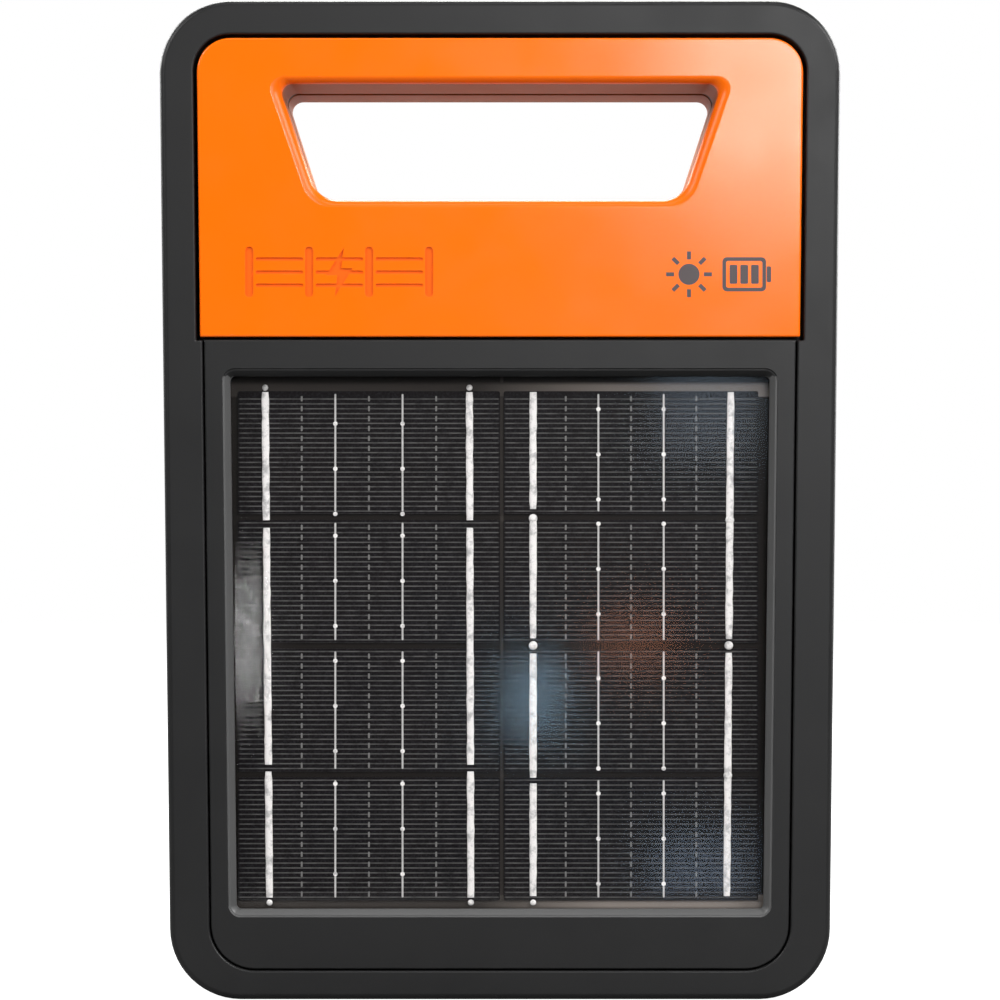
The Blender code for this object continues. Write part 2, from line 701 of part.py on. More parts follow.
def button_and_light(rubber, switch_plastic, clear, lamp):
    """The power button, its seal and switch, and the light pipe with its lamp, all along X."""
    wall = half_width(BUTTON_Z)
    line = (0, back(BUTTON_DEPTH), BUTTON_Z)
    inner_wall = wall - WALL
    flange = inner_wall - 2.2
    flange_radius = 5.5
    stem = 2.2
    top = wall + BUTTON_PROUD
    plunger_end = 77.0
    cap = (
        (stem, plunger_end + GAP), (stem, flange - 1.6), (flange_radius, flange - 1.6),
        (flange_radius, flange), (BUTTON_RADIUS, flange + 0.2), (BUTTON_RADIUS, top - 0.8),
        (BUTTON_RADIUS - 0.8, top), (BUTTON_RADIUS - 2.0, top - 0.25),
    )
    make("power_button", [turned(cap, 24, "X", line)], rubber, (top, line[1], line[2]))
    ends = (flange + 2 * GAP, inner_wall - GAP)
    seal = ((5.6, ends[0]), (5.6, ends[1]), (5.0, ends[1]), (5.0, ends[0]))
    make("button_seal", [turned(seal, 24, "X", line, hollow=True)], rubber)
    plunger = rod(1.7, 70.6, plunger_end, 12, "X", line)
    make("switch_plunger", [plunger], clear, (plunger_end, line[1], line[2]))
    low = BUTTON_Z - 5
    body = make("power_switch", [box(62, 72, ON_BOARD, ON_BOARD + 10, low, low + 10)], switch_plastic)
    cut(body, cutter("plunger_bore", rod(2.1, 69.0, 74.0, 12, "X", line)))

    line = (0, back(BUTTON_DEPTH), LIGHT_Z)
    pipe = ((1.9, 72.0), (1.9, wall - 0.7), (3.0, wall - 0.7), (3.0, wall - 0.1), (2.2, wall + 0.15))
    make("light_pipe", [turned(pipe, 16, "X", line)], clear)
    dome = ((2.9, 63.0), (2.9, 64.2), (2.4, 64.2), (2.4, 68.6), (1.8, 70.3), (0.8, 71.2))
    led = make("status_led", [turned(dome, 16, "X", line)], lamp)
    holder = box(60.5, 63.6, ON_BOARD, ON_BOARD + 8, LIGHT_Z - 3.2, LIGHT_Z + 3.2)
    join(led, cutter("led_holder", holder))


# Battery and circuit


def battery(sleeve, plastic, band, lead_red):
    shoulder = BATTERY_HIGH - 1.2
    places = [(side * BATTERY_X, back(BATTERY_DEPTH), 0) for side in (-1, 1)]
    for number, place in enumerate(places, 1):
        profile = (
            (BATTERY_RADIUS, BATTERY_LOW), (BATTERY_RADIUS, shoulder),
            (BATTERY_TIP, shoulder), (BATTERY_TIP, BATTERY_HIGH),
        )
        make(f"battery_cell_{number}", [turned(profile, 20, "Z", place)], sleeve)
    rail = BATTERY_X + BATTERY_RADIUS + 4
    ends = (BATTERY_LOW - 1.8, BATTERY_HIGH + 1.8)
    cradle_rear = BATTERY_DEPTH - 6.3
    cradle = make("battery_cradle", [box(-rail, rail, FLOOR_BACK + GAP, cradle_rear, *ends, 1.0)], plastic)
    bed = (BATTERY_RADIUS + 0.35, BATTERY_LOW - 0.4, BATTERY_HIGH + 0.4)
    cut(cradle, cutter("battery_beds", *[rod(*bed, 20, "Z", place) for place in places]))
    strap(cradle_rear + GAP, band)
    route = ((17, 42, 113.2), (17, 42, 108), (14, 36, 104), (10, 28, 101), (8, 22.6, 98))
    wire("battery_lead", route, 1.6, lead_red)


def strap(front, band):
    """A band over both battery cells, which ends on the cradle."""
    inside = BATTERY_X + BATTERY_RADIUS + 0.6
    rear = BATTERY_DEPTH + BATTERY_RADIUS + 0.4
    middle = (BATTERY_LOW + BATTERY_HIGH) / 2

    def arch(grow):
        wide = inside + grow
        corners = ((wide, front), (wide, rear + grow), (-wide, rear + grow), (-wide, front))
        return rounded(corners, (0.01, 15.5 + grow, 15.5 + grow, 0.01), 5)

    outline = arch(1.2) + list(reversed(arch(0)))
    make("battery_strap", [shell([level(outline, middle - 6), level(outline, middle + 6)])], band)


def circuit(board_green, iron, copper, blue, black, ferrite):
    board = make("main_board", [box(-70, 70, BOARD_FRONT, BOARD_BACK, 28, 108, 2.0)], board_green)
    holes = [rod(1.8, back(BOARD_FRONT - 1), back(BOARD_BACK + 1), 12, "Y", (x, 0, z))
             for x, z in BOARD_SCREW_PLACES]
    cut(board, cutter("board_holes", *holes))
    transformer(-38.0, 76.0, iron, copper)
    make("storage_capacitor", [box(16, 54, ON_BOARD, 42, 80, 102, 1.2)], blue)
    can = ((8.0, ON_BOARD), (8.0, 44.6), (7.4, 45.2))
    make("bulk_capacitor", [turned_on_board(can, 26, 60)], black)
    drum = ((9.0, ON_BOARD), (9.0, 22.0), (6.5, 22.2), (6.5, 30.0), (9.0, 30.2), (9.0, 32.0))
    make("inverter_coil", [turned_on_board(drum, 0, 58)], ferrite)
    profile = ((ON_BOARD, 44.0), (29.4, 44.0), (29.4, 47.2), (35.6, 47.2), (35.6, 48.5), (ON_BOARD, 48.5))
    make("thyristor", [shell([sideways(profile, 43.0), sideways(profile, 53.0)])], black)


def turned_on_board(profile, x, z):
    """A part that stands on the board: profile is (radius, depth)."""
    return turned(tuple((radius, back(depth)) for radius, depth in profile), 20, "Y", (x, 0, z))


def transformer(x, z, iron, copper):
    """A laminated core, with the winding round its middle leg."""
    core = make("transformer_core", [box(x - 20, x + 20, 24, 40, z - 17, z + 17, 0.6)], iron)
    windows = [box(middle - 3.5, middle + 3.5, 20, 44, z - 10, z + 10, 0.4) for middle in (x - 9.5, x + 9.5)]
    cut(core, cutter("core_windows", *windows))
    outer = rectangle(x - 12.6, x + 12.6, ON_BOARD + GAP, 43.5, 3.0, 4)
    inner = rectangle(x - 6.4, x + 6.4, 23.6, 40.4, 0.6, 4)
    half = 9.6
    rings = [level(outer, z - half), level(outer, z + half), level(inner, z + half), level(inner, z - half)]
    make("transformer_winding", [shell(rings, hollow=True)], copper)


def leads(red, green, grey):
    """The insulated leads inside the case, each from its part to its terminal or to the board."""
    x = SOLAR_LEAD_X
    route = ((x, 9.8, 124), (x, 14, 124), (57, 20, 122), (60, 26, 115), (60, 27, 107), (60, 22.6, 101))
    wire("solar_lead", route, 1.5, grey)
    x = -TERMINAL_X
    route = ((-38, 44.6, 84), (-39, 50, 84), (-52, 58, 80), (-61, 63, 72), (x, 64, 62), (x, 64, 55.6))
    wire("fence_lead", route, 1.9, red)
    x = TERMINAL_X
    route = (
        (38, 21.9, 36), (44, 30, 38), (54, 42, 52), (60, 56, 68), (x, 63, 67), (x, 64, 61), (x, 64, 55.6)
    )
    wire("earth_lead", route, 1.9, green)


def screw(name, place, seat, head, shank, length, height, steel):
    """A pan head screw with a round socket, which points forwards from its seat."""
    socket = head * 0.45
    profile = (
        (socket, seat + height * 0.4), (socket, seat + height), (head * 0.8, seat + height),
        (head, seat), (shank, seat), (shank, seat - length),
    )
    points = tuple((radius, back(depth)) for radius, depth in profile)
    make(name, [turned(points, 10, "Y", (place[0], 0, place[1]))], steel)


def screws(steel):
    for number, place in enumerate(SCREW_PLACES, 1):
        screw(f"case_screw_{number}", place, SCREW_SEAT + GAP, 3.7, 1.9, 14.5, 2.4, steel)
    for number, place in enumerate(BOARD_SCREW_PLACES, 1):
        screw(f"board_screw_{number}", place, ON_BOARD, 2.8, 1.3, 6.0, 1.7, steel)


def main():
    clear_scene()
    charcoal = material("charcoal_plastic", (0.045, 0.046, 0.048), 0.55)
    orange = material("orange_plastic", (1.0, 0.2, 0.008), 0.42)
    rubber = material("black_rubber", (0.02, 0.02, 0.02), 0.8)
    glass = material("panel_glass", (0.6, 0.65, 0.7), 0.08)
    silicon = material("silicon_cell", (0.012, 0.013, 0.02), 0.3)
    tinned = material("tinned_copper", (0.75, 0.75, 0.76), 0.35, 1.0)
    board = material("circuit_board", (0.02, 0.16, 0.07), 0.5)
    steel = material("stainless_steel", (0.6, 0.6, 0.6), 0.3, 1.0)
    red = material("red_plastic", (0.6, 0.02, 0.02), 0.4)
    green = material("green_plastic", (0.02, 0.3, 0.06), 0.4)
    clear = material("clear_plastic", (0.8, 0.85, 0.85), 0.15)
    lamp = material("lamp_green", (0.1, 0.7, 0.2), 0.2)
    sleeve = material("battery_sleeve", (0.02, 0.15, 0.5), 0.4)
    copper = material("winding_tape", (0.7, 0.45, 0.06), 0.5)
    iron = material("laminated_iron", (0.12, 0.12, 0.13), 0.5, 1.0)
    black = material("black_plastic", (0.02, 0.02, 0.02), 0.5)

    tunnel = tunnel_cutter()
    rear_case(charcoal, tunnel)
    front_housing(charcoal, tunnel)
    solar_bezel(charcoal)
    handle_fascia(orange)
    case_seals(rubber)
    solar_panel(rubber, glass, silicon, tinned, board)
    terminal("fence", -1, steel, red)
    terminal("earth", 1, steel, green)
    button_and_light(rubber, black, clear, lamp)
    battery(sleeve, black, steel, red)
    circuit(board, iron, copper, sleeve, black, iron)
    leads(red, green, black)
    screws(steel)


main()
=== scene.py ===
"""Looks for the solar fence energizer: detailed shells, solar cells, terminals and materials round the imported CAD.

Everything is in the CAD's frame: +X to the right and +Z up seen from the front, which faces -Y. Shapes are worked
out in millimetres, with depth counted backwards from the plane of the front rim, and turned into metres at the end.
"""

import math
import random

import bmesh
import bpy
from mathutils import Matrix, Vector

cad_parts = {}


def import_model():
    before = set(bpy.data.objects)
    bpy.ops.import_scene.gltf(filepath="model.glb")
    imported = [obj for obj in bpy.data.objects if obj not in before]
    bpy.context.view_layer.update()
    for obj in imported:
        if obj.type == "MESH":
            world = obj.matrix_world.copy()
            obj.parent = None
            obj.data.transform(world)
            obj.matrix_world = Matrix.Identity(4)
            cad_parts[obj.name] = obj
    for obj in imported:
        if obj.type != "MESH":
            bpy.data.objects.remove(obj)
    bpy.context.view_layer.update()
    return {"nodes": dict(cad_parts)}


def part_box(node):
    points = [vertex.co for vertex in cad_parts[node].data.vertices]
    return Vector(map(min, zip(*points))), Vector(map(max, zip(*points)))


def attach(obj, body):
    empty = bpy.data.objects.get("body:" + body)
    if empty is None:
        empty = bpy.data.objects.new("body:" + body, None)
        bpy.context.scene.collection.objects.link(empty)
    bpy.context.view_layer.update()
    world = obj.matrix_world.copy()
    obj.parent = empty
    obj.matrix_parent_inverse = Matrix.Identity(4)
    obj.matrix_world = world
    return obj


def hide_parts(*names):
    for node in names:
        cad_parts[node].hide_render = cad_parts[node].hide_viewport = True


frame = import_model()

MM = 0.001

# Driving sizes, from the CAD's boxes
CASE_LOW, CASE_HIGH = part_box("front_housing")
REAR_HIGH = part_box("rear_case")[1]
HEIGHT = CASE_HIGH.z / MM
DEPTH = (REAR_HIGH.y - CASE_LOW.y) / MM
FRONT_Y = CASE_LOW.y / MM

# Shapes that the CAD and these looks share; only the handle opening's top corners are tighter here
BASE_HALF_WIDTH = 90.7
FLARE = 0.012
CORNER_RADIUS = 19.6
WALL = 2.6
GAP = 0.3
SEAM_DEPTH = 16.0
SLAB_DEPTH = 34.0
RIM_WIDTH = 9.3
RIM_WIDTH_BESIDE_BEZEL = 11.0
RIM_WIDTH_BASE = 8.0
RIM_TOP_RADIUS = 10.2
RIM_LOW_RADIUS = 12.6
SPLIT = 182.0
FLOOR_FRONT = 10.4
FACE_DEPTH = 0.5
SKIN = 2.0
BEZEL_BACK = 3.2
WINDOW_BEVEL = ((0.0, 3.2), (0.0, 2.4), (0.15, 2.15), (1.35, 0.95), (1.5, 0.85), (1.62, 0.8), (1.9, 0.8), (2.0, 0.76),
                (2.1, 0.66), (2.2, 0.5))
RIM_EASE = 1.8
MARK_DEPTH = 0.45
RECESS_EASE = 0.5
FLOOR_BACK = 12.8
GASKET_FRONT = 14.7
TUNNEL_START = 2.5
COLLAR_FRONT = 3.5
WINDOW_LOW = 24.8
WINDOW_HIGH = 171.6
WINDOW_INSET = 18.4
WINDOW_RADIUS = 1.4
# The handle opening: half width at its top and base, height of its top and base, radius of the corners there
FRONT_APERTURE = (65.0, 52.5, 254.3, 217.9, 3.6, 8.5)
LIP_APERTURE = (61.2, 50.0, 252.2, 220.2, 2.8, 7.5)
GRIP_APERTURE = (59.8, 50.0, 250.1, 219.9, 3.0, 6.5)
BACK_APERTURE = (62.8, 53.0, 253.0, 216.8, 5.5, 9.0)
LIP_END = 3.6
GRIP_START = 20.0
GRIP_END = 29.5
CORNER_STEPS = 14

# Rear body, fastenings and terminals
BODY_INSET = 6.0
BODY_TOP = 207.0
SLOPE_START = 36.0
BODY_EDGE = 5.0
CHANNEL_WIDTH = 44.0
CHANNEL_DEPTH = 14.0
POCKET_LEFT = 44.0
POCKET_RIGHT = 80.0
POCKET_FRONT = 50.0
POCKET_TOP = 48.0
KEYHOLE_X = 52.0
KEYHOLE_Z = 132.0
KEYHOLE_LIP = 3.4
KEYHOLE_REACH = 7.4
SCREW_PLACES = ((-78, 252), (78, 252), (-74, 140), (74, 140), (-33.5, 16), (33.5, 16))
SCREW_SEAT = 30.3
SCREW_WELL = 4.3
BOSS_FRONT = 26.3
BOARD_SCREW_PLACES = ((-64, 34), (64, 34), (-64, 102), (64, 102))
ON_BOARD = 20.2
TERMINAL_X = 62.0
TERMINAL_DEPTH = 64.0
COLLAR_LOW = 45.0
BUTTON_Z = 75.0
BUTTON_DEPTH = 25.0
LIGHT_Z = 94.0

# The solar cells' printed and soldered lines
CELL_ROWS = 4
CELL_COLUMNS = ((-36.3, 72.6), (36.3, 70.5))
CELL_HEIGHT = 34.1
CELL_PITCH = 35.65
CELLS_LOW = 26.6
FINGER_PITCH = 1.35
FINGER_WIDTH = 0.3
CELL_FRONT = 7.2
SOLDER_DEPTH = 7.15
RIBBON_HALF = 1.0
RIBBON_RISE = 0.3
BAR_SHARE = 0.2565
DOT_PITCH = 12.5
DOT_STARTS = ((9.0, 4.4, 3.4, 1.8), (5.0, 1.1, 8.2, 4.5))
DASH_PITCH = 2.75
DASH_LENGTH = 1.5
PASTE_THICKNESS = 0.03
DOT_THICKNESS = 0.08
INK_THICKNESS = 0.06
FINGER_BRIGHTNESS = 0.1
# Pale colour of the sealant between the columns and of the painted reflection bands above and below the cells, and
# the height of the window's middle, round which those bands lie
SEALANT_AND_REFLECTION_COLOUR = (0.26, 0.23, 0.21)
REFLECTION_BAND_MIDDLE = 97.1
GRAIN_EDGE = -66.5
SILICON_COLD = (0.002, 0.002, 0.004)
SILICON_WARM = (0.007, 0.005, 0.005)

# Marks on the fascia
FENCE_POSTS = (-69.0, -52.5, -36.0, -19.5)
FENCE_WIRES = (196.6, 200.2, 203.8)
FENCE_SPARK = (-44.2, 200.2, 6.6)
SUN = (52.0, 199.6)

# Finishes and light
GLASS_SHINE = 0.017
CHARCOAL_COLOUR = (0.0085, 0.0085, 0.0087)
BACKING_COLOUR = (0.010, 0.008, 0.007)
# Dark copy of the orange, as painted shade inside the handle opening
GRIP_SHADE_COLOUR = (0.34, 0.09, 0.02)
ORANGE_COLOUR = (1.0, 0.155, 0.001)
CAMERA_LENS = 130.9
CAMERA_Z = 0.1375
MIRROR_SHARE = 0.4
HIGHLIGHT_ENERGY = 12.0
SIDE_ENERGY = 19.0
TOP_ENERGY = 4.0
WORLD_LIGHT = 0.07
FLOOR_GLOW = 1.0
REAR_ENERGY = 40.0
BACKDROP_ENERGY = 14.0
LIGHT_Y = -1.6
GLINTS = (  # x, z, width, height, power and colour of each small light that the window mirrors
    (0.024, -0.002, 0.032, 0.048, 0.05, (0.45, 0.75, 1.0)),
    (0.096, 0.038, 0.054, 0.039, 0.027, (1.0, 0.4, 0.2)),
    (0.147, 0.208, 0.07, 0.08, 0.045, (0.6, 0.78, 1.0)),
    (0.14, -0.128, 0.07, 0.06, 0.04, (0.5, 0.7, 1.0)),
    (-0.179, 0.039, 0.021, 0.09, 0.095, (1.0, 1.0, 1.0)),
)


def half_width(z):
    return BASE_HALF_WIDTH + FLARE * z


def back(depth):
    """The Y, in millimetres, of a depth behind the front plane."""
    return FRONT_Y + depth


# Outlines: lists of (x, z) seen from the front


def arc(x, z, radius, first, turn, steps):
    """Points round part of a circle, from one angle on and through another."""
    angles = [first + turn * k / steps for k in range(steps + 1)]
    return [(x + radius * math.cos(angle), z + radius * math.sin(angle)) for angle in angles]


def rounded(corners, radii, steps=CORNER_STEPS):
    """A polygon with each corner replaced by an arc of its own radius."""
    points = []
    count = len(corners)
    for i, (place, radius) in enumerate(zip(corners, radii)):
        corner = Vector(place)
        to_last = (Vector(corners[i - 1]) - corner).normalized()
        to_next = (Vector(corners[(i + 1) % count]) - corner).normalized()
        half = to_last.angle(to_next) / 2
        centre = corner + (to_last + to_next).normalized() * radius / math.sin(half)
        start = corner + to_last * radius / math.tan(half) - centre
        end = corner + to_next * radius / math.tan(half) - centre
        first = math.atan2(start.y, start.x)
        points += arc(*centre, radius, first, -start.angle_signed(end), steps)
    return points


def rectangle(left, right, low, high, radius=0.5, steps=3):
    corners = ((left, low), (right, low), (right, high), (left, high))
    return rounded(corners, (radius,) * 4, steps)


def case_outline(inset, low, high, low_radius, high_radius, steps=CORNER_STEPS):
    """A slice of the case: sides that flare upwards, set in by inset."""
    wide_low = half_width(low) - inset
    wide_high = half_width(high) - inset
    corners = ((-wide_low, low), (wide_low, low), (wide_high, high), (-wide_high, high))
    return rounded(corners, (low_radius, low_radius, high_radius, high_radius), steps)


def shrunk_case(inset, steps=CORNER_STEPS):
    radius = CORNER_RADIUS - inset
    return case_outline(inset, inset, HEIGHT - inset, radius, radius, steps)


def bezel_edge(inset):
    low = RIM_WIDTH_BASE + inset
    return case_outline(RIM_WIDTH_BESIDE_BEZEL + inset, low, SPLIT - inset, RIM_LOW_RADIUS - inset, 0.4)


def fascia_edge(inset):
    high = HEIGHT - RIM_WIDTH - inset
    return case_outline(RIM_WIDTH + inset, SPLIT - 0.6 + inset, high, 0.4, RIM_TOP_RADIUS - inset)


def window_outline(grow):
    radius = WINDOW_RADIUS + grow
    return case_outline(WINDOW_INSET - grow, WINDOW_LOW - grow, WINDOW_HIGH + grow, radius, radius)


def aperture_outline(size, grow=0.0):
    top, bottom, high, low, high_radius, low_radius = size
    corners = ((-bottom - grow, low - grow), (bottom + grow, low - grow),
               (top + grow, high + grow), (-top - grow, high + grow))
    low_radius += grow
    high_radius += grow
    return rounded(corners, (low_radius, low_radius, high_radius, high_radius))


def mixed(a, b, share):
    return tuple(p + (q - p) * share for p, q in zip(a, b))


def aperture_at(depth, grow=0.0):
    """The handle opening narrows from its lip to the grip, and widens again at the back."""
    if depth < LIP_END:
        drop = (LIP_END - depth) / (LIP_END - FACE_DEPTH)
        size = mixed(LIP_APERTURE, FRONT_APERTURE, 1 - math.sqrt(max(0.0, 1 - drop * drop)))
    elif depth < GRIP_START:
        size = mixed(LIP_APERTURE, GRIP_APERTURE, (depth - LIP_END) / (GRIP_START - LIP_END))
    elif depth < GRIP_END:
        size = GRIP_APERTURE
    else:
        drop = min(1.0, (depth - GRIP_END) / (SLAB_DEPTH - GRIP_END))
        size = mixed(GRIP_APERTURE, BACK_APERTURE, 1 - math.sqrt(1 - drop * drop))
    return aperture_outline(size, grow)


# Shells: (points, faces) in millimetres


def upright(outline, depth):
    return [(x, back(depth), z) for x, z in outline]


def level(outline, z):
    return [(x, back(depth), z) for x, depth in outline]


def shell(rings, hollow=False):
    """Skins a list of rings: capped at both ends, or hollow when the last ring joins the first."""
    count = len(rings[0])
    points = [p for ring in rings for p in ring]
    spans = len(rings) if hollow else len(rings) - 1
    faces = []
    for r in range(spans):
        here = r * count
        there = (r + 1) % len(rings) * count
        for k in range(count):
            after = (k + 1) % count
            faces.append((here + k, here + after, there + after, there + k))
    if not hollow:
        faces.append(tuple(range(count)))
        faces.append(tuple(range(len(points) - count, len(points))))
    return points, faces


def quarter(steps, first=0):
    """The sine and cosine of each step round a quarter circle."""
    angles = [math.pi / 2 * k / steps for k in range(first, steps + 1)]
    return [(math.sin(angle), math.cos(angle)) for angle in angles]


def circle(radius, sides, lobes=0, lobe_depth=0.0):
    points = []
    for k in range(sides):
        angle = 2 * math.pi * (k + 0.5) / sides
        reach = radius + lobe_depth * math.cos(lobes * angle)
        points.append((reach * math.cos(angle), reach * math.sin(angle)))
    return points


def turned(profile, sides, axis, at=(0, 0, 0), hollow=False):
    """A turned shape: profile is (radius, distance along the axis), axis is X, Y or Z."""
    rings = []
    for radius, along in profile:
        ring = []
        for u, v in circle(radius, sides):
            place = {"X": (along, u, v), "Y": (u, along, v), "Z": (u, v, along)}[axis]
            ring.append(tuple(p + q for p, q in zip(place, at)))
        rings.append(ring)
    return shell(rings, hollow)


def prism(outline, front, rear):
    return shell([upright(outline, front), upright(outline, rear)])


def rod(radius, front, rear, sides, x, z):
    return turned(((radius, back(front)), (radius, back(rear))), sides, "Y", (x, 0, z))


def block(left, right, front, rear, low, high, radius=0.1, steps=1):
    return prism(rectangle(left, right, low, high, radius, steps), front, rear)


def new_object(name, data):
    obj = bpy.data.objects.new(name, data)
    bpy.context.scene.collection.objects.link(obj)
    return obj


def make(name, shells, surface=None, sharp=35):
    """One object from one or more shells."""
    work = bmesh.new()
    for points, faces in shells:
        made = [work.verts.new([p * MM for p in point]) for point in points]
        for face in faces:
            work.faces.new([made[i] for i in face])
    bmesh.ops.recalc_face_normals(work, faces=work.faces)
    mesh = bpy.data.meshes.new(name)
    work.to_mesh(mesh)
    work.free()
    if surface is not None:
        mesh.materials.append(surface)
    mesh.shade_smooth()
    mesh.set_sharp_from_angle(angle=math.radians(sharp))
    return new_object(name, mesh)


def even_normals(obj):
    """Keeps large flat faces flat beside small rounded edges."""
    weighted = obj.modifiers.new("even_normals", "WEIGHTED_NORMAL")
    weighted.keep_sharp = True
    weighted.weight = 100


def stand_for(obj, slot, body, *nodes):
    """Says which body a piece rides on and the CAD nodes it replaces, if any; the material slot is not used."""
    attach(obj, body)
    if nodes:
        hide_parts(*nodes)


def boolean(target, operation, *tools):
    for tool in tools:
        modifier = target.modifiers.new(tool.name, "BOOLEAN")
        modifier.object = tool
        modifier.operation = operation
        modifier.solver = "EXACT"


def settle(obj, *tools):
    """Applies the modifiers and removes the helper solids."""
    bpy.context.view_layer.update()
    graph = bpy.context.evaluated_depsgraph_get()
    mesh = bpy.data.meshes.new_from_object(obj.evaluated_get(graph))
    obj.modifiers.clear()
    obj.data = mesh
    for tool in tools:
        bpy.data.objects.remove(tool)


# Materials


def begin(name):
    made = bpy.data.materials.new(name)
    made.use_nodes = True
    return made, made.node_tree, made.node_tree.nodes["Principled BSDF"]


def feed(socket, value):
    """Gives an input a value, or links another node's output to it; a colour may be an RGB triple."""
    if isinstance(value, bpy.types.NodeSocket):
        socket.id_data.links.new(value, socket)
    elif socket.type == "RGBA" and len(value) == 3:
        socket.default_value = (*value, 1.0)
    else:
        socket.default_value = value


def put(surface, **values):
    """Feeds a shader's inputs, each named with _ for a space."""
    for key, value in values.items():
        feed(surface.inputs[key.replace("_", " ")], value)


def add(tree, kind, inputs=None, **settings):
    """A shader node with its settings and inputs, which are values or other nodes' outputs."""
    node = tree.nodes.new(kind)
    for key, value in settings.items():
        setattr(node, key, value)
    for key, value in (inputs or {}).items():
        feed(node.inputs[key], value)
    return node


def place_of(tree):
    return add(tree, "ShaderNodeTexCoord").outputs["Object"]


def axis_of(tree, axis):
    return add(tree, "ShaderNodeSeparateXYZ", {"Vector": place_of(tree)}).outputs[axis]


def noise(tree, scale, detail=3.0, where=None, roughness=0.5):
    vector = where if where is not None else place_of(tree)
    inputs = {"Vector": vector, "Scale": scale, "Detail": detail, "Roughness": roughness}
    return add(tree, "ShaderNodeTexNoise", inputs).outputs["Fac"]


def ranged(tree, value, low, high, to_low=0.0, to_high=1.0):
    inputs = {"Value": value, "From Min": low, "From Max": high, "To Min": to_low, "To Max": to_high}
    return add(tree, "ShaderNodeMapRange", inputs).outputs["Result"]


def sums(tree, operation, a, b=0.0):
    return add(tree, "ShaderNodeMath", {0: a, 1: b}, operation=operation).outputs[0]


def times(tree, a, b):
    return sums(tree, "MULTIPLY", a, b)


def distance_from(tree, axis, place):
    """How far a point is from a place along one axis, which is given in millimetres."""
    return sums(tree, "ABSOLUTE", sums(tree, "SUBTRACT", axis_of(tree, axis), place * MM))


def colour_mix(tree, share, a, b):
    node = add(tree, "ShaderNodeMix", data_type="RGBA")
    for key, value in (("Factor", share), ("A", a), ("B", b)):
        feed(next(s for s in node.inputs if s.name == key and s.enabled), value)
    return next(s for s in node.outputs if s.enabled)


def bump(tree, surface, height, strength, distance):
    node = add(tree, "ShaderNodeBump", {"Height": height, "Strength": strength, "Distance": distance * MM})
    put(surface, Normal=node.outputs["Normal"])


def edge_mask(tree, radius):
    """1 on sharp edges and 0 on flat faces, broken up by noise."""
    soft = add(tree, "ShaderNodeBevel", {"Radius": radius * MM}, samples=4).outputs["Normal"]
    true = add(tree, "ShaderNodeNewGeometry").outputs["Normal"]
    dot = add(tree, "ShaderNodeVectorMath", {0: soft, 1: true}, operation="DOT_PRODUCT").outputs["Value"]
    edge = ranged(tree, dot, 0.995, 0.90)
    return times(tree, edge, ranged(tree, noise(tree, 180.0), 0.42, 0.62, 0.15, 1.0))


def moulded(name, colour, roughness, grain=0.35, wear=0.25, pale=None, specular=0.5, mottling=0.06):
    """Moulded plastic: spark-eroded grain, faint flow marks, smudges and paler worn edges."""
    made, tree, surface = begin(name)
    darker = tuple(c * (1 - mottling) for c in colour)
    lighter = tuple(min(1.0, c * (1 + mottling)) for c in colour)
    base = colour_mix(tree, noise(tree, 22.0, 2.0), darker, lighter)
    pale = pale or tuple(min(1.0, c * 1.6 + 0.02) for c in colour)
    worn = times(tree, edge_mask(tree, 0.5), wear)
    smudge = noise(tree, 60.0, 5.0, roughness=0.6)
    rough = ranged(tree, smudge, 0.3, 0.7, roughness - 0.03, roughness + 0.03)
    put(surface, Base_Color=colour_mix(tree, worn, base, pale), Roughness=rough, Specular_IOR_Level=specular)
    bump(tree, surface, noise(tree, 2600.0, 2.0), grain, 0.03)
    return made


def shaded_grip_surface():
    """Painted shade inside the handle opening: a dark copy of the orange, with an orange-brown sheen at low angles,
    greyer towards the corners.
    """
    made = moulded("grip_painted_shade", GRIP_SHADE_COLOUR, 0.5, grain=0.5, wear=0.1, specular=0.3)
    tree = made.node_tree
    corner = ranged(tree, distance_from(tree, "X", 0), 53 * MM, 59 * MM)
    sheen = colour_mix(tree, corner, (1.0, 0.55, 0.24), (0.3, 0.25, 0.22))
    put(tree.nodes["Principled BSDF"], Sheen_Tint=sheen, Sheen_Weight=0.5, Sheen_Roughness=0.2)
    return made


def backing_surface():
    """Black backing sheet, with a painted reflection in pale bands above and below the cells, brighter towards the
    right, and a faint line of pale sealant between the two columns of cells.
    """
    made = moulded("backing_sheet", BACKING_COLOUR, 0.5, grain=0.3, wear=0.05, specular=0.15, mottling=0.15)
    tree = made.node_tree
    target = tree.nodes["Principled BSDF"].inputs["Base Color"]
    # Painted reflection: pale bands just above and below the cells, brighter towards the right
    height = distance_from(tree, "Z", REFLECTION_BAND_MIDDLE)
    strip = ranged(tree, height, 68.8 * MM, 69.3 * MM)
    strip = times(tree, strip, ranged(tree, height, 72.2 * MM, 73.2 * MM, 1.0, 0.0))
    right = ranged(tree, axis_of(tree, "X"), -5 * MM, 30 * MM, 0.12, 1.0)
    between = ranged(tree, distance_from(tree, "X", 0.5), 0.3 * MM, 0.6 * MM, 0.12, 0.0)
    share = sums(tree, "MAXIMUM", times(tree, strip, right), between)
    feed(target, colour_mix(tree, share, target.links[0].from_socket, SEALANT_AND_REFLECTION_COLOUR))
    return made


def metal(name, colour, roughness, brushing=(900.0, 900.0, 60.0)):
    """Drawn or rolled metal: fine scratches along one direction, and slight tarnish."""
    made, tree, surface = begin(name)
    stretched = add(tree, "ShaderNodeVectorMath", {0: place_of(tree), 1: brushing}, operation="MULTIPLY")
    lines = noise(tree, 1.0, 3.0, stretched.outputs["Vector"])
    dull = tuple(c * 0.8 for c in colour)
    tarnish = colour_mix(tree, noise(tree, 90.0, 4.0), dull, colour)
    rough = ranged(tree, lines, 0.3, 0.7, roughness * 0.75, roughness * 1.3)
    put(surface, Base_Color=tarnish, Roughness=rough, Metallic=1.0)
    bump(tree, surface, lines, 0.25, 0.02)
    return made


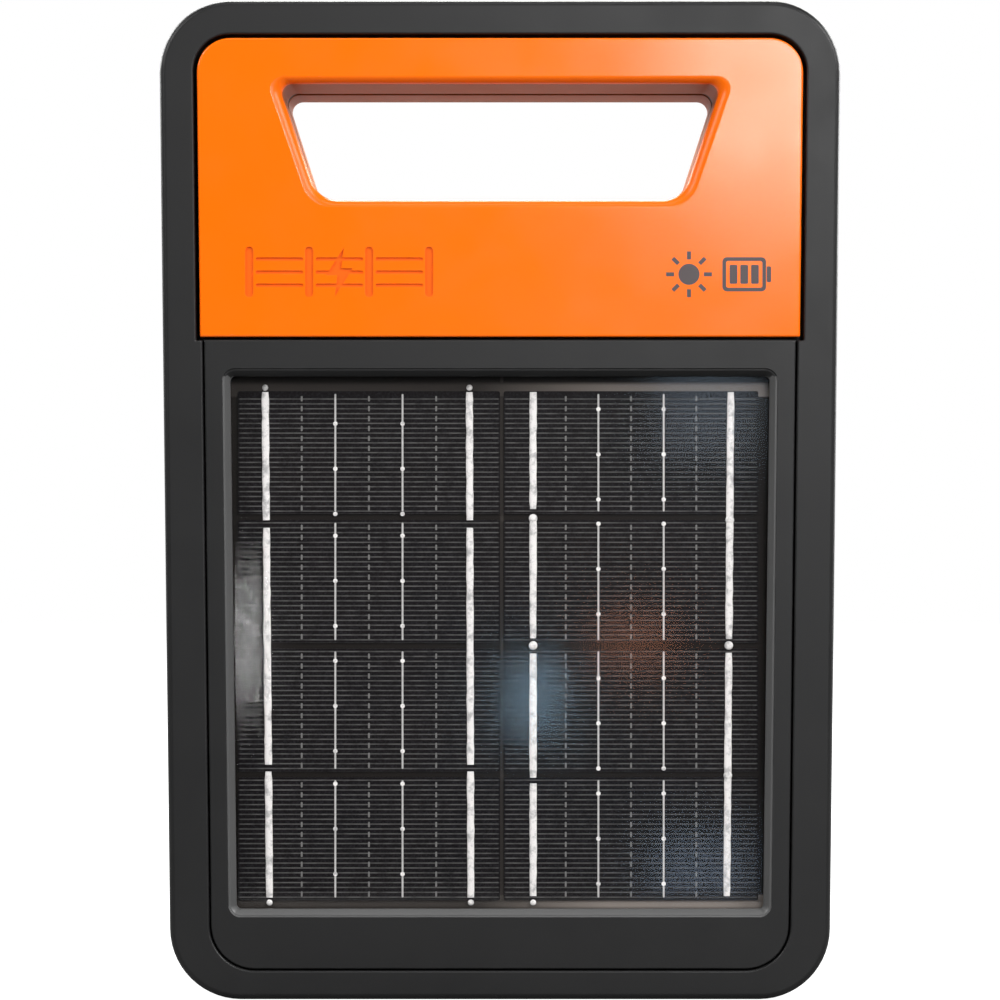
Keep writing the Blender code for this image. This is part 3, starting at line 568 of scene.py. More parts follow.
def panel_glass_surface():
    """Clear toughened glass: transparent, with a thin reflection that is grainy only at the far left."""
    made, tree, surface = begin("panel_glass_clear")
    tree.nodes.remove(surface)
    across = axis_of(tree, "X")
    coarse = ranged(tree, across, GRAIN_EDGE * MM, (GRAIN_EDGE + 1) * MM, 1.0, 0.0)
    fine = times(tree, noise(tree, 2400.0, 2.0), times(tree, coarse, 0.5))
    grain = times(tree, ranged(tree, noise(tree, 1500.0, 1.0), 0.35, 0.65, -0.7, 0.7), coarse)
    pebble = sums(tree, "ADD", fine, times(tree, noise(tree, 60.0, 1.0), 0.8))
    normal = add(tree, "ShaderNodeBump", {"Height": pebble, "Strength": 0.3, "Distance": 0.04 * MM})
    normal = normal.outputs["Normal"]
    facing = add(tree, "ShaderNodeLayerWeight", {"Blend": 0.5, "Normal": normal}).outputs["Facing"]
    fresnel = ranged(tree, sums(tree, "POWER", facing, 5.0), 0.0, 1.0, GLASS_SHINE, 1.0)
    fresnel = times(tree, fresnel, sums(tree, "ADD", grain, 1.0))
    rough = ranged(tree, across, -55 * MM, -20 * MM, 0.03, 0.08)
    gloss = add(tree, "ShaderNodeBsdfGlossy", {"Roughness": rough, "Normal": normal}).outputs["BSDF"]
    clear = add(tree, "ShaderNodeBsdfTransparent", {"Color": (0.97, 0.965, 0.96)}).outputs["BSDF"]
    mix = add(tree, "ShaderNodeMixShader", {0: fresnel, 1: clear, 2: gloss}).outputs["Shader"]
    tree.links.new(mix, tree.nodes["Material Output"].inputs["Surface"])
    return made


def silicon_surface(name, middle, width):
    """Silicon behind a blue-black coating, with the fine printed fingers that cross each cell."""
    made, tree, surface = begin(name)
    cloud = noise(tree, 26.0, 3.0)
    coating = colour_mix(tree, cloud, SILICON_COLD, SILICON_WARM)
    speck = ranged(tree, noise(tree, 1500.0, 2.0), 0.45, 0.8, 0.0, 0.5)
    coating = colour_mix(tree, speck, coating, (0.03, 0.03, 0.036))
    height = sums(tree, "SUBTRACT", axis_of(tree, "Z"), (CELLS_LOW + 0.2) * MM)
    in_cell = sums(tree, "FLOORED_MODULO", height, CELL_PITCH * MM)
    step = sums(tree, "FRACT", sums(tree, "DIVIDE", in_cell, FINGER_PITCH * MM))
    from_line = sums(tree, "ABSOLUTE", sums(tree, "SUBTRACT", step, 0.5))
    half = FINGER_WIDTH / FINGER_PITCH / 2
    line = ranged(tree, from_line, half * 1.5, half * 0.7)
    inside = ranged(tree, distance_from(tree, "X", middle), (width / 2 - 0.1) * MM, (width / 2 - 0.7) * MM)
    broken = ranged(tree, noise(tree, 330.0, 3.0), 0.3, 0.62, 0.35, 1.0)
    top = CELL_PITCH * (CELL_ROWS - 1) + CELL_HEIGHT - 1.2
    below = ranged(tree, height, top * MM, (top - 0.1) * MM)
    cover = times(tree, times(tree, line, inside), times(tree, below, broken))
    printed = colour_mix(tree, cover, coating, (FINGER_BRIGHTNESS,) * 3)
    put(surface, Base_Color=printed, Roughness=0.4, Specular_IOR_Level=0.1)
    bump(tree, surface, cover, 0.3, 0.02)
    return made


def solder_surface():
    """Tinned copper, uneven along its length where the solder pooled."""
    made, tree, surface = begin("tinned_ribbon")
    pool = noise(tree, 330.0, 4.0, roughness=0.65)
    bright = ranged(tree, pool, 0.36, 0.52)
    put(surface, Base_Color=colour_mix(tree, bright, (0.5, 0.5, 0.51), (0.93, 0.92, 0.92)),
        Roughness=ranged(tree, pool, 0.3, 0.7, 0.5, 0.3))
    bump(tree, surface, pool, 0.5, 0.08)
    return made


def paste_surface(name, brightness):
    """Printed silver paste: matt, granular and slightly broken."""
    made, tree, surface = begin(name)
    dim, bright = (brightness * 0.6,) * 3, (brightness * 1.2,) * 3
    put(surface, Base_Color=colour_mix(tree, noise(tree, 700.0), dim, bright), Roughness=0.5)
    return made


def circuit_board_surface():
    """Green solder resist with paler copper tracks under it."""
    made, tree, surface = begin("circuit_board_green")
    cells = add(tree, "ShaderNodeTexVoronoi", {"Vector": place_of(tree), "Scale": 160.0}, distance="MANHATTAN")
    tracks = ranged(tree, cells.outputs["Distance"], 0.28, 0.31)
    put(surface, Base_Color=colour_mix(tree, tracks, (0.01, 0.09, 0.035), (0.02, 0.17, 0.06)), Roughness=0.35)
    bump(tree, surface, tracks, 0.4, 0.03)
    return made


def layered(name, light, dark, pitch, axis, roughness=0.5, metallic=0.0):
    """Fine layers across one axis, such as laminations or tape."""
    made, tree, surface = begin(name)
    stripes = sums(tree, "FRACT", sums(tree, "DIVIDE", axis_of(tree, axis), pitch * MM))
    layer = ranged(tree, stripes, 0.42, 0.58)
    put(surface, Base_Color=colour_mix(tree, layer, light, dark), Roughness=roughness, Metallic=metallic)
    bump(tree, surface, layer, 0.4, 0.05)
    return made


def lens_surface(name, colour, glow):
    """Tinted clear polycarbonate with faint moulding streaks."""
    made, tree, surface = begin(name)
    pale = tuple(min(1.0, c * 1.3) for c in colour)
    put(surface, Base_Color=colour_mix(tree, noise(tree, 350.0), colour, pale), Roughness=0.12,
        Transmission_Weight=0.5, Emission_Color=colour, Emission_Strength=glow)
    return made


CHARCOAL = moulded("charcoal_moulded", CHARCOAL_COLOUR, 0.42, grain=0.4, wear=0.3, pale=(0.06, 0.06, 0.062),
                   specular=0.32)
SHADED_GRIP = shaded_grip_surface()
# Painted highlight: the window's bevel in a much lighter copy of the charcoal, for the light it catches
LIT_BEVEL = moulded("charcoal_bevel_painted_highlight", (0.07, 0.07, 0.07), 0.36, grain=0.2, wear=0.2)
ORANGE = moulded("orange_moulded", ORANGE_COLOUR, 0.145, grain=0.04, wear=0.1, pale=(1.0, 0.4, 0.15),
                 specular=0.4, mottling=0.02)
# Painted shade: a darker copy of the orange on the floor of the pressed sign; its rougher, less glossy finish is real
PRESSED_SHADE = moulded("orange_pressed_painted_shade", (0.84, 0.118, 0.0008), 0.5, grain=0.3, wear=0.05, pale=(1.0, 0.3, 0.1),
                  specular=0.15)
# Painted shade: a slightly darker copy of the orange on the lip and inside the handle opening; its rougher finish is
# real
LIP_SHADE = moulded("orange_lip_painted_shade", (0.87, 0.14, 0.001), 0.32, grain=0.04, wear=0.05, pale=(1.0, 0.4, 0.15),
              specular=0.25, mottling=0.02)
INK = moulded("dark_ink", (0.045, 0.03, 0.032), 0.4, grain=0.2, wear=0.1)
PALE_INK = moulded("pale_ink", (0.62, 0.62, 0.6), 0.5, grain=0.2, wear=0.1)
RUBBER = moulded("black_rubber_moulded", (0.018, 0.018, 0.019), 0.62, grain=0.6, wear=0.1, mottling=0.12)
BLACK = moulded("black_plastic_moulded", (0.02, 0.02, 0.021), 0.45)
BACKING = backing_surface()
RED = moulded("red_knob_plastic", (0.5, 0.012, 0.01), 0.36, wear=0.3, pale=(0.75, 0.2, 0.17))
GREEN = moulded("green_knob_plastic", (0.012, 0.2, 0.045), 0.36, wear=0.3, pale=(0.2, 0.5, 0.25))
SLEEVE = moulded("battery_sleeve_blue", (0.012, 0.09, 0.36), 0.3, grain=0.1, wear=0.1)
STEEL = metal("stainless_turned", (0.62, 0.61, 0.6), 0.28)
SOLDER = solder_surface()


# Case


def eased(start, radius, steps, rising):
    """(depth, inset) pairs round a quarter circle: rising towards a face, or falling away behind it."""
    pairs = []
    for sine, cosine in quarter(steps):
        across, along = radius * (1 - sine), radius * (1 - cosine)
        pairs.append((start + along, across) if rising else (start - across, along))
    return pairs


def tunnel_solid():
    depths = [TUNNEL_START, 3.0, LIP_END, GRIP_START, GRIP_END]
    depths += [GRIP_END + (SLAB_DEPTH - GRIP_END) * sine for sine, _ in quarter(8, 1)]
    rings = [upright(aperture_at(depth), depth) for depth in depths]
    rings.append(upright(aperture_outline(BACK_APERTURE), SLAB_DEPTH + 2))
    return make("tunnel_solid", [shell(rings)])


def recess(name, edge):
    """A recess in the front, down to the floor, with its rim eased."""
    rings = [upright(edge(-RECESS_EASE), -1.0)]
    rings += [upright(edge(-inset), depth) for depth, inset in eased(0.0, RECESS_EASE, 4, True)]
    rings.append(upright(edge(0), FLOOR_FRONT))
    return make(name, [shell(rings)])


def tint(obj, surface, chosen):
    """Gives the faces whose middle (x, y, z) is chosen a finish of their own."""
    obj.data.materials.append(surface)
    for face in obj.data.polygons:
        if chosen(*(c / MM for c in face.center)):
            face.material_index = len(obj.data.materials) - 1


def shade_grip_walls(obj):
    """Gives the walls of the handle opening their own finish: the dark orange of painted shade."""
    tint(obj, SHADED_GRIP, lambda x, y, z: 217 < z < 255 and abs(x) < 52 + (z - 217) * 0.36
         and back(LIP_END - 0.3) < y < back(SLAB_DEPTH - 0.3))


def front_housing():
    """The rim with its rounded outer edge, the recessed floor, and the walls round the handle opening."""
    rings = [upright(shrunk_case(inset), depth) for depth, inset in eased(0.0, RIM_EASE, 7, True)]
    rings += [upright(shrunk_case(inset), SEAM_DEPTH - fall) for inset, fall in ((0, 0.35), (0.1, 0.1), (0.35, 0))]
    housing = make("housing_front", [shell(rings)], CHARCOAL)
    collar_end = GASKET_FRONT - GAP
    rear = [upright(shrunk_case(RIM_WIDTH), depth) for depth in (FLOOR_BACK, collar_end)]
    rear += [upright(shrunk_case(WALL), depth) for depth in (collar_end, SEAM_DEPTH + 2)]
    tools = [recess("bezel_recess", bezel_edge), recess("fascia_recess", fascia_edge)]
    tools.append(make("rear_recess", [shell(rear)]))
    boolean(housing, "DIFFERENCE", *tools)
    collar = shell([upright(aperture_at(depth, 2.4), depth) for depth in (COLLAR_FRONT, collar_end)])
    posts = [rod(4.5, FLOOR_BACK - 1, 26.0, 24, *place) for place in SCREW_PLACES]
    added = make("collar_and_posts", [collar, *posts])
    boolean(housing, "UNION", added)
    pilots = [rod(2.2, FLOOR_BACK, 28.0, 16, *place) for place in SCREW_PLACES]
    pilots.append(rod(3.5, 8, 15, 24, 56.0, 124.0))
    holes = make("pilots", pilots)
    tunnel = tunnel_solid()
    boolean(housing, "DIFFERENCE", holes, tunnel)
    settle(housing, *tools, added, holes, tunnel)
    shade_grip_walls(housing)
    finish_shell(housing)
    stand_for(housing, "charcoal_plastic", "root", "front_housing")


def finish_shell(obj, sharp=30):
    obj.data.shade_smooth()
    obj.data.set_sharp_from_angle(angle=math.radians(sharp))
    even_normals(obj)


def body_outline(inset, top):
    radius = CORNER_RADIUS - BODY_INSET - inset * 0.5
    return case_outline(BODY_INSET + inset, inset, top - inset, radius, radius)


def channel_outline(grow):
    mouth = CHANNEL_WIDTH / 2 + grow
    floor = mouth - 1.5
    front = DEPTH - CHANNEL_DEPTH - grow
    corners = ((-floor, front), (floor, front), (mouth, DEPTH + 4), (-mouth, DEPTH + 4))
    return rounded(corners, (3.0, 3.0, 0.5, 0.5), 8)


def pocket_block(side, grow):
    """The space round one terminal, open to the back and to the ground."""
    left, right = sorted((side * POCKET_LEFT, side * POCKET_RIGHT))
    outline = rectangle(left - grow, right + grow, POCKET_FRONT - grow, DEPTH + 5, 4.0, 8)
    top = POCKET_TOP + grow
    return shell([level(outline, -6), level(outline, top)])


def keyhole(side):
    """A round hole for a screw head, a slot above it, and the room behind both."""
    head, slot, slot_top = 5.2, 2.6, 12.0
    x = side * KEYHOLE_X
    start = math.asin(slot / head)
    face = arc(x, KEYHOLE_Z, head, math.pi / 2 + start, 2 * (math.pi - start), 40)
    face += arc(x, KEYHOLE_Z + slot_top, slot, 0, math.pi, 16)
    inner = rectangle(x - head, x + head, KEYHOLE_Z - head, KEYHOLE_Z + slot_top + head, 5.0, 8)
    lip = DEPTH - KEYHOLE_LIP
    return prism(face, lip, DEPTH + 2), prism(inner, DEPTH - KEYHOLE_REACH, lip + 0.3)


def rear_solid():
    """The outside of the rear case: the slab with the handle, joined to the deep body below it."""
    front = SEAM_DEPTH + GAP
    rings = [upright(shrunk_case(0.35), front), upright(shrunk_case(0.1), front + 0.1),
             upright(shrunk_case(0), front + 0.35)]
    rings += [upright(shrunk_case(inset), depth) for depth, inset in eased(SLAB_DEPTH, 4.0, 9, False)]
    case = make("housing_rear", [shell(rings)], CHARCOAL)
    rings = [upright(body_outline(0, BODY_TOP), depth) for depth in (SLAB_DEPTH - 4, SLOPE_START)]
    slope_end = DEPTH - BODY_EDGE
    for k in range(1, 13):
        depth = SLOPE_START + (slope_end - SLOPE_START) * k / 12
        rings.append(upright(body_outline(0, BODY_TOP + SLOPE_START - depth), depth))
    for depth, inset in eased(DEPTH, BODY_EDGE, 9, False)[1:]:
        top = BODY_TOP + SLOPE_START - depth + inset * 0.4
        rings.append(upright(body_outline(inset, top), depth))
    body = make("body_solid", [shell(rings)])
    boolean(case, "UNION", body)
    return case, body


def hollow_solid():
    """The room inside the rear case, as one simple chamber with the walls that can be seen kept solid."""
    front = SEAM_DEPTH + GAP
    rings = [upright(shrunk_case(RIM_WIDTH, 4), depth) for depth in (front - 1, front + 3)]
    rings += [upright(shrunk_case(WALL, 4), depth) for depth in (front + 3, SLAB_DEPTH - WALL - 1)]
    rings.append(upright(shrunk_case(WALL + 1, 4), SLAB_DEPTH - WALL))
    hollow = make("hollow_solid", [shell(rings)])
    rings = []
    for depth in (front + 6, SLOPE_START):
        radius = CORNER_RADIUS - BODY_INSET - WALL
        rings.append(upright(case_outline(BODY_INSET + WALL, WALL, BODY_TOP - WALL, radius, radius, 4), depth))
    depth = DEPTH - WALL
    top = BODY_TOP + SLOPE_START - depth - WALL * 1.4
    rings.append(upright(case_outline(BODY_INSET + WALL + 2, WALL + 1, top, 9, 9, 4), depth))
    chamber = make("chamber_solid", [shell(rings)])
    boolean(hollow, "UNION", chamber)
    grip = aperture_outline(GRIP_APERTURE, 4.6)
    kept = [prism(grip, front - 3, SLAB_DEPTH + 6)]
    kept.append(shell([level(channel_outline(WALL), z) for z in (-6, 240)]))
    kept += [rod(6.4, BOSS_FRONT, DEPTH + 3, 24, *place) for place in SCREW_PLACES]
    for side in (-1, 1):
        x = side * KEYHOLE_X
        kept.append(pocket_block(side, WALL))
        kept.append(block(x - 8, x + 8, DEPTH - KEYHOLE_REACH - WALL, DEPTH + 3, KEYHOLE_Z - 8, KEYHOLE_Z + 20))
    walls = make("kept_solid", kept)
    boolean(hollow, "DIFFERENCE", walls)
    settle(hollow, chamber, walls)
    return hollow


def rear_case():
    """The rear half of the case, with its post channel, terminal pockets, keyholes and screw wells."""
    case, body = rear_solid()
    hollow = hollow_solid()
    channel = shell([level(channel_outline(0), z) for z in (-8, 242)])
    pockets = make("pockets", [channel, pocket_block(-1, 0), pocket_block(1, 0)])
    faces, inners = zip(*[keyhole(side) for side in (-1, 1)])
    terminals = [(side * TERMINAL_X, back(TERMINAL_DEPTH), 0) for side in (-1, 1)]
    collar = ((8.0, POCKET_TOP + 1), (8.0, COLLAR_LOW + 0.5), (7.5, COLLAR_LOW))
    collars = make("collars", [turned(collar, 32, "Z", place) for place in terminals])
    well = ((2.2, back(BOSS_FRONT - 2)), (2.2, back(SCREW_SEAT)), (SCREW_WELL, back(SCREW_SEAT)),
            (SCREW_WELL, back(DEPTH + 4)))
    drillings = [turned(well, 32, "Y", (x, 0, z)) for x, z in SCREW_PLACES]
    bore = ((3.3, COLLAR_LOW - 2), (3.3, POCKET_TOP + 5))
    drillings += [turned(bore, 32, "Z", place) for place in terminals]
    wall = half_width(BUTTON_Z)
    dish = ((5.0, wall - 6), (5.0, wall - 0.9), (6.2, wall - 0.6), (6.8, wall + 2))
    drillings.append(turned(dish, 48, "X", (0, back(BUTTON_DEPTH), BUTTON_Z)))
    pipe = ((2.3, wall - 6), (2.3, wall - 1.0), (3.4, wall - 1.0), (3.4, wall + 2))
    drillings.append(turned(pipe, 32, "X", (0, back(BUTTON_DEPTH), LIGHT_Z)))
    marks = [prism(s, DEPTH - MARK_DEPTH, DEPTH + 1) for shapes in rear_marks().values() for s in shapes]
    tools = [hollow, tunnel_solid(), pockets, make("keyhole_faces", faces), make("keyhole_inners", inners),
             make("drillings", drillings), make("rear_marks", marks)]
    boolean(case, "DIFFERENCE", *tools[:3])
    boolean(case, "UNION", collars)
    boolean(case, "DIFFERENCE", *tools[3:])
    settle(case, body, collars, *tools)
    shade_grip_walls(case)
    finish_shell(case)
    stand_for(case, "charcoal_plastic", "root", "rear_case")


def panel_rings(edge, gap, radius, steps):
    """The rings of a front panel from its eased rim round its outer wall to the inside of its skin."""
    end = FLOOR_FRONT - GAP
    rings = [upright(edge(gap + inset), depth) for depth, inset in eased(FACE_DEPTH, radius, steps, True)]
    return rings + [upright(edge(gap), end), upright(edge(gap + SKIN), end), upright(edge(gap + SKIN), BEZEL_BACK)]


def solar_bezel():
    """The dark frame round the solar window; the bevel round the window has a painted highlight, a much lighter and
    slightly glossier copy of the charcoal.
    """
    rings = panel_rings(bezel_edge, 0.4, 0.5, 4)
    rings += [upright(window_outline(grow), depth) for grow, depth in WINDOW_BEVEL]
    bezel = make("window_bezel", [shell(rings, hollow=True)], CHARCOAL)
    reach = WINDOW_BEVEL[-2][0]
    tint(bezel, LIT_BEVEL, lambda x, y, z: abs(x) < half_width(z) - WINDOW_INSET + reach
         and WINDOW_LOW - reach < z < WINDOW_HIGH and y < back(BEZEL_BACK - 0.4))
    finish_shell(bezel, 22)
    stand_for(bezel, "charcoal_plastic", "root", "solar_bezel")


def fence_mark():
    """A generic sign of four posts and three wires, as outlines of (x, z)."""
    shapes = []
    for x in FENCE_POSTS:
        shapes.append(rectangle(x - 1.1, x + 1.1, 193.4, 207.2, 1.0, 4))
    for z in FENCE_WIRES:
        for left in (x + 1.8 for x in FENCE_POSTS[:-1]):
            shapes.append(rectangle(left, left + 13.0, z - 0.45, z + 0.45, 0.4, 3))
    return shapes


def bolt(x, z, size):
    """A spark: six straight sides, with its middle at (x, z)."""
    corners = ((0.18, 1.0), (-0.55, -0.12), (-0.08, -0.12), (-0.18, -1.0), (0.55, 0.16), (0.08, 0.16))
    return [(x + u * size, z + v * size) for u, v in corners]


def handle_fascia():
    """The orange panel round the handle: its lip rolls into the opening, and a fence sign is pressed into it."""
    rings = [*panel_rings(fascia_edge, 1.0, 0.6, 5), upright(aperture_at(BEZEL_BACK), BEZEL_BACK)]
    drop = BEZEL_BACK - FACE_DEPTH
    for sine, _ in quarter(12, 1):
        depth = FACE_DEPTH + drop * (1 - sine)
        rings.append(upright(aperture_at(depth), depth))
    fascia = make("handle_panel", [shell(rings, hollow=True)], ORANGE)
    marks = [make("mark_tool", [prism(s, FACE_DEPTH - 1, FACE_DEPTH + MARK_DEPTH) for s in shapes])
             for shapes in (fence_mark(), [bolt(*FENCE_SPARK)])]
    boolean(fascia, "DIFFERENCE", *marks)
    settle(fascia, *marks)
    # The floor of the pressed sign gets the darker orange of painted shade
    tint(fascia, PRESSED_SHADE, lambda x, y, z: -72 < x < -16 and 192 < z < 209
         and back(FACE_DEPTH + 0.05) < y < back(FACE_DEPTH + 1))
    # The lip and the walls behind it get the darker orange of painted shade
    tint(fascia, LIP_SHADE, lambda x, y, z: abs(x) < 66 and 216 < z < 256 and y > back(FACE_DEPTH + 0.02))
    finish_shell(fascia, 25)
    stand_for(fascia, "orange_plastic", "root", "handle_fascia")


def print_flat(name, shapes, depth, thickness, surface, slot, out=-1):
    """Ink or paste on a face that looks to the front (out -1) or to the back (out 1)."""
    piece = make(name, [prism(s, depth, depth + out * thickness) for s in shapes], surface)
    stand_for(piece, slot, "root")


def ring_outline(x, z, radius, sides=48):
    return [(x + u, z + v) for u, v in circle(radius, sides)]


def printed_sign():
    """A generic sun and battery, in dark ink on the fascia."""
    depth = FACE_DEPTH
    sun_x, sun_z = SUN
    flat = [ring_outline(sun_x, sun_z, 2.9)]
    for k in range(8):
        angle = math.pi / 4 * k
        ux, uz = math.cos(angle), math.sin(angle)
        ray = [(sun_x + ux * r - uz * w, sun_z + uz * r + ux * w)
               for r, w in ((4.1, -0.55), (6.3, -0.55), (6.3, 0.55), (4.1, 0.55))]
        flat.append(ray)
    flat.append(rectangle(73.4, 74.6, 197.4, 201.8, 0.4, 3))
    flat += [rectangle(x, x + 2.1, 197.0, 202.2, 0.3, 3) for x in (63.2, 66.15, 69.1)]
    deep = depth - INK_THICKNESS
    parts = [prism(s, depth, deep) for s in flat]
    outer, inner = rectangle(61.2, 73.2, 194.9, 204.3, 1.2, 4), rectangle(62.2, 72.2, 195.9, 203.3, 0.6, 4)
    ring = [upright(outer, depth), upright(outer, deep), upright(inner, deep), upright(inner, depth)]
    parts.append(shell(ring, True))
    stand_for(make("sun_and_battery_sign", parts, INK), "orange_plastic", "root")


# Solar panel


def column_bars(middle, width):
    """The X of a column's four soldered lines, and of the dashed lines between them."""
    pitch = width * BAR_SHARE
    return [middle + k * pitch for k in (-1.5, -0.5, 0.5, 1.5)], [middle + k * pitch for k in (-1, 0, 1)]


def ribbon(name, node, top_x, low_x, spans, dots, tabs):
    """A soldered ribbon in lengths: crowned, a little uneven, with solder blobs and smaller end tabs."""
    draw = random.Random(name)
    top, low = CELLS_LOW + CELL_ROWS * CELL_PITCH - 1.5, CELLS_LOW

    def place(z):
        return low_x + (top_x - low_x) * (z - low) / (top - low)

    parts = []
    for start, end in spans:
        steps = max(4, int((end - start) / 2.2))
        rings = []
        for k in range(steps + 1):
            z = start + (end - start) * k / steps
            taper = 0.9 if k in (0, steps) else 1.0
            half = RIBBON_HALF * taper * draw.uniform(0.9, 1.06)
            rise = RIBBON_RISE * taper
            x = place(z) + draw.uniform(-0.04, 0.04)
            rings.append([(x + u * half, back(SOLDER_DEPTH) - v * rise, z)
                          for u, v in ((-1, 0), (-0.85, 0.6), (-0.4, 1), (0.4, 1), (0.85, 0.6), (1, 0))])
        parts.append(shell(rings))
    blob = ((1.2, 0.0), (1.05, 0.25), (0.5, 0.42))
    tab = ((0.85, 0.0), (0.75, 0.2), (0.35, 0.32))
    for heights, crown, sides in ((dots, blob, 20), (tabs, tab, 16)):
        profile = [(reach, back(SOLDER_DEPTH - rise)) for reach, rise in crown]
        parts += [turned(profile, sides, "Y", (place(z), 0, z)) for z in heights]
    piece = make(name, parts, SOLDER, 50)
    stand_for(piece, "tinned_copper", "root", node)


def solar_panel():
    bars, dashes, dots = [], [], []
    for (middle, width), starts in zip(CELL_COLUMNS, DOT_STARTS):
        lines, between = column_bars(middle, width)
        for row in range(CELL_ROWS):
            low = CELLS_LOW + row * CELL_PITCH
            high = low + CELL_HEIGHT
            for x in lines[1:3]:
                bars.append(rectangle(x - 0.25, x + 0.25, low + 0.8, high - 0.8, 0.2, 2))
                for k in range(3):
                    z = high - starts[CELL_ROWS - 1 - row] - k * DOT_PITCH
                    dots.append(ring_outline(x, z, 0.62, 14))
            for x in between:
                count = int((CELL_HEIGHT - 1.2) / DASH_PITCH)
                for k in range(count + 1):
                    z = low + 1.0 + k * DASH_PITCH
                    dashes.append(rectangle(x - 0.26, x + 0.26, z, min(z + DASH_LENGTH, high - 0.5), 0.15, 1))
    print_flat("cell_busbars", bars, CELL_FRONT, PASTE_THICKNESS, paste_surface("busbar_paste", 0.6), "tinned_copper")
    print_flat("cell_dashes", dashes, CELL_FRONT, PASTE_THICKNESS, paste_surface("dash_paste", 0.17), "tinned_copper")
    print_flat("cell_dots", dots, CELL_FRONT, DOT_THICKNESS, SOLDER, "tinned_copper")
    left, right = [column_bars(middle, width)[0] for middle, width in CELL_COLUMNS]
    whole = ((27.4, 62.3), (64.2, 129.8), (131.9, 167.4))
    broken = ((27.8, 59.0), (60.6, 95.0), (99.2, 133.4), (135.0, 167.4))
    long = ((27.8, 95.2), (99.0, 167.4))
    ribbon("ribbon_left_outer", "cell_ribbon_1", left[0] - 0.8, left[0] + 0.4, whole, (), (26.0, 168.6))
    ribbon("ribbon_left_inner", "cell_ribbon_2", left[3] - 0.1, left[3] + 0.3, whole, (), (26.0, 168.6))
    ribbon("ribbon_right_inner", "cell_ribbon_3", right[0], right[0], broken, (97.2, 132.4), (26.0,))
    ribbon("ribbon_right_outer", "cell_ribbon_4", right[3] + 0.5, right[3] - 0.6, long, (97.2, 132.0, 61.2), ())


# Terminals, button and screws


def upright_box(node):
    """The middle, the two ends and the half width of a CAD node that stands upright, in millimetres."""
    low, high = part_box(node)
    x, y = (low.x + high.x) / 2 / MM, (low.y + high.y) / 2 / MM
    return x, y, low.z / MM, high.z / MM, (high.x - low.x) / 2 / MM


def knob(kind, surface, slot):
    """A grip with eight deep flutes, a domed end and a collar under the washer."""
    x, y, bottom, top, half = upright_box(f"{kind}_knob")
    radius = half - 0.9
    bore = 3.3
    profile = [(bore, bottom + 3.4, 0), (bore, top - 0.4, 0), (bore + 0.4, top, 0), (8.2, top, 0),
               (8.6, top - 0.4, 0), (8.6, top - 3.9, 0)]  # radius, height and depth of the flutes
    flute = 0.9
    profile += [(radius - 1.2 * (1 - sine), top - 4.3 - 1.2 * (1 - cosine), flute * sine)
                for sine, cosine in quarter(6)]
    profile += [(radius - 2.2 * (1 - cosine), bottom + 2.2 * (1 - sine), flute * cosine ** 0.5)
                for sine, cosine in quarter(8)]
    profile += [(radius - 4.0, bottom, 0), (radius - 4.8, bottom + 0.5, 0)]
    rings = []
    for reach, z, lobe in profile:
        rings.append([(x + u, y + v, z) for u, v in circle(reach, 128, 8, lobe)])
    piece = make(f"{kind}_terminal_knob", [shell(rings)], surface, 40)
    even_normals(piece)
    stand_for(piece, slot, f"{kind}_knob", f"{kind}_knob")


def stud(kind):
    """A threaded stud: the thread is turned as close grooves."""
    x, y, bottom, top, _ = upright_box(f"{kind}_stud")
    seat = top - 4.0
    profile = [(4.6, top), (5.0, top - 0.4), (5.0, seat), (2.95, seat)]
    z = seat - 1.0
    while z > bottom + 1.2:
        profile += [(2.95, z), (2.6, z - 0.45), (2.6, z - 0.55)]
        z -= 1.0
    profile += [(2.95, bottom + 0.7), (2.3, bottom)]
    piece = make(f"{kind}_terminal_stud", [turned(profile, 40, "Z", (x, y, 0))], STEEL, 30)
    stand_for(piece, "stainless_steel", "root", f"{kind}_stud")


def nut(kind):
    """A hexagon nut with its corners chamfered."""
    x, y, bottom, top, _ = upright_box(f"{kind}_nut")
    hexagon = arc(x, y, 5.5, 0, 5 / 3 * math.pi, 5)
    piece = make(f"{kind}_terminal_nut", [shell([[(u, v, z) for u, v in hexagon] for z in (bottom, top)])], STEEL)
    cone = turned(((4.5, bottom), (5.5, bottom + 0.55), (5.5, top - 0.55), (4.5, top)), 48, "Z", (x, y, 0))
    tool = make("nut_cone", [cone])
    bore = make("nut_bore", [turned(((3.3, bottom - 1), (3.3, top + 1)), 32, "Z", (x, y, 0))])
    boolean(piece, "INTERSECT", tool)
    boolean(piece, "DIFFERENCE", bore)
    settle(piece, tool, bore)
    finish_shell(piece, 25)
    stand_for(piece, "stainless_steel", "root", f"{kind}_nut")


def washer(kind):
    x, y, bottom, top, _ = upright_box(f"{kind}_washer")
    ring = [(3.5, bottom), (3.3, bottom + 0.2), (3.3, top - 0.2), (3.5, top)]
    ring += [(6.7, top), (6.93, top - 0.12), (7.0, top - 0.35), (7.0, bottom + 0.35), (6.93, bottom + 0.12),
             (6.7, bottom)]
    piece = make(f"{kind}_terminal_washer", [turned(ring, 64, "Z", (x, y, 0), hollow=True)], STEEL, 40)
    stand_for(piece, "stainless_steel", f"{kind}_washer", f"{kind}_washer")


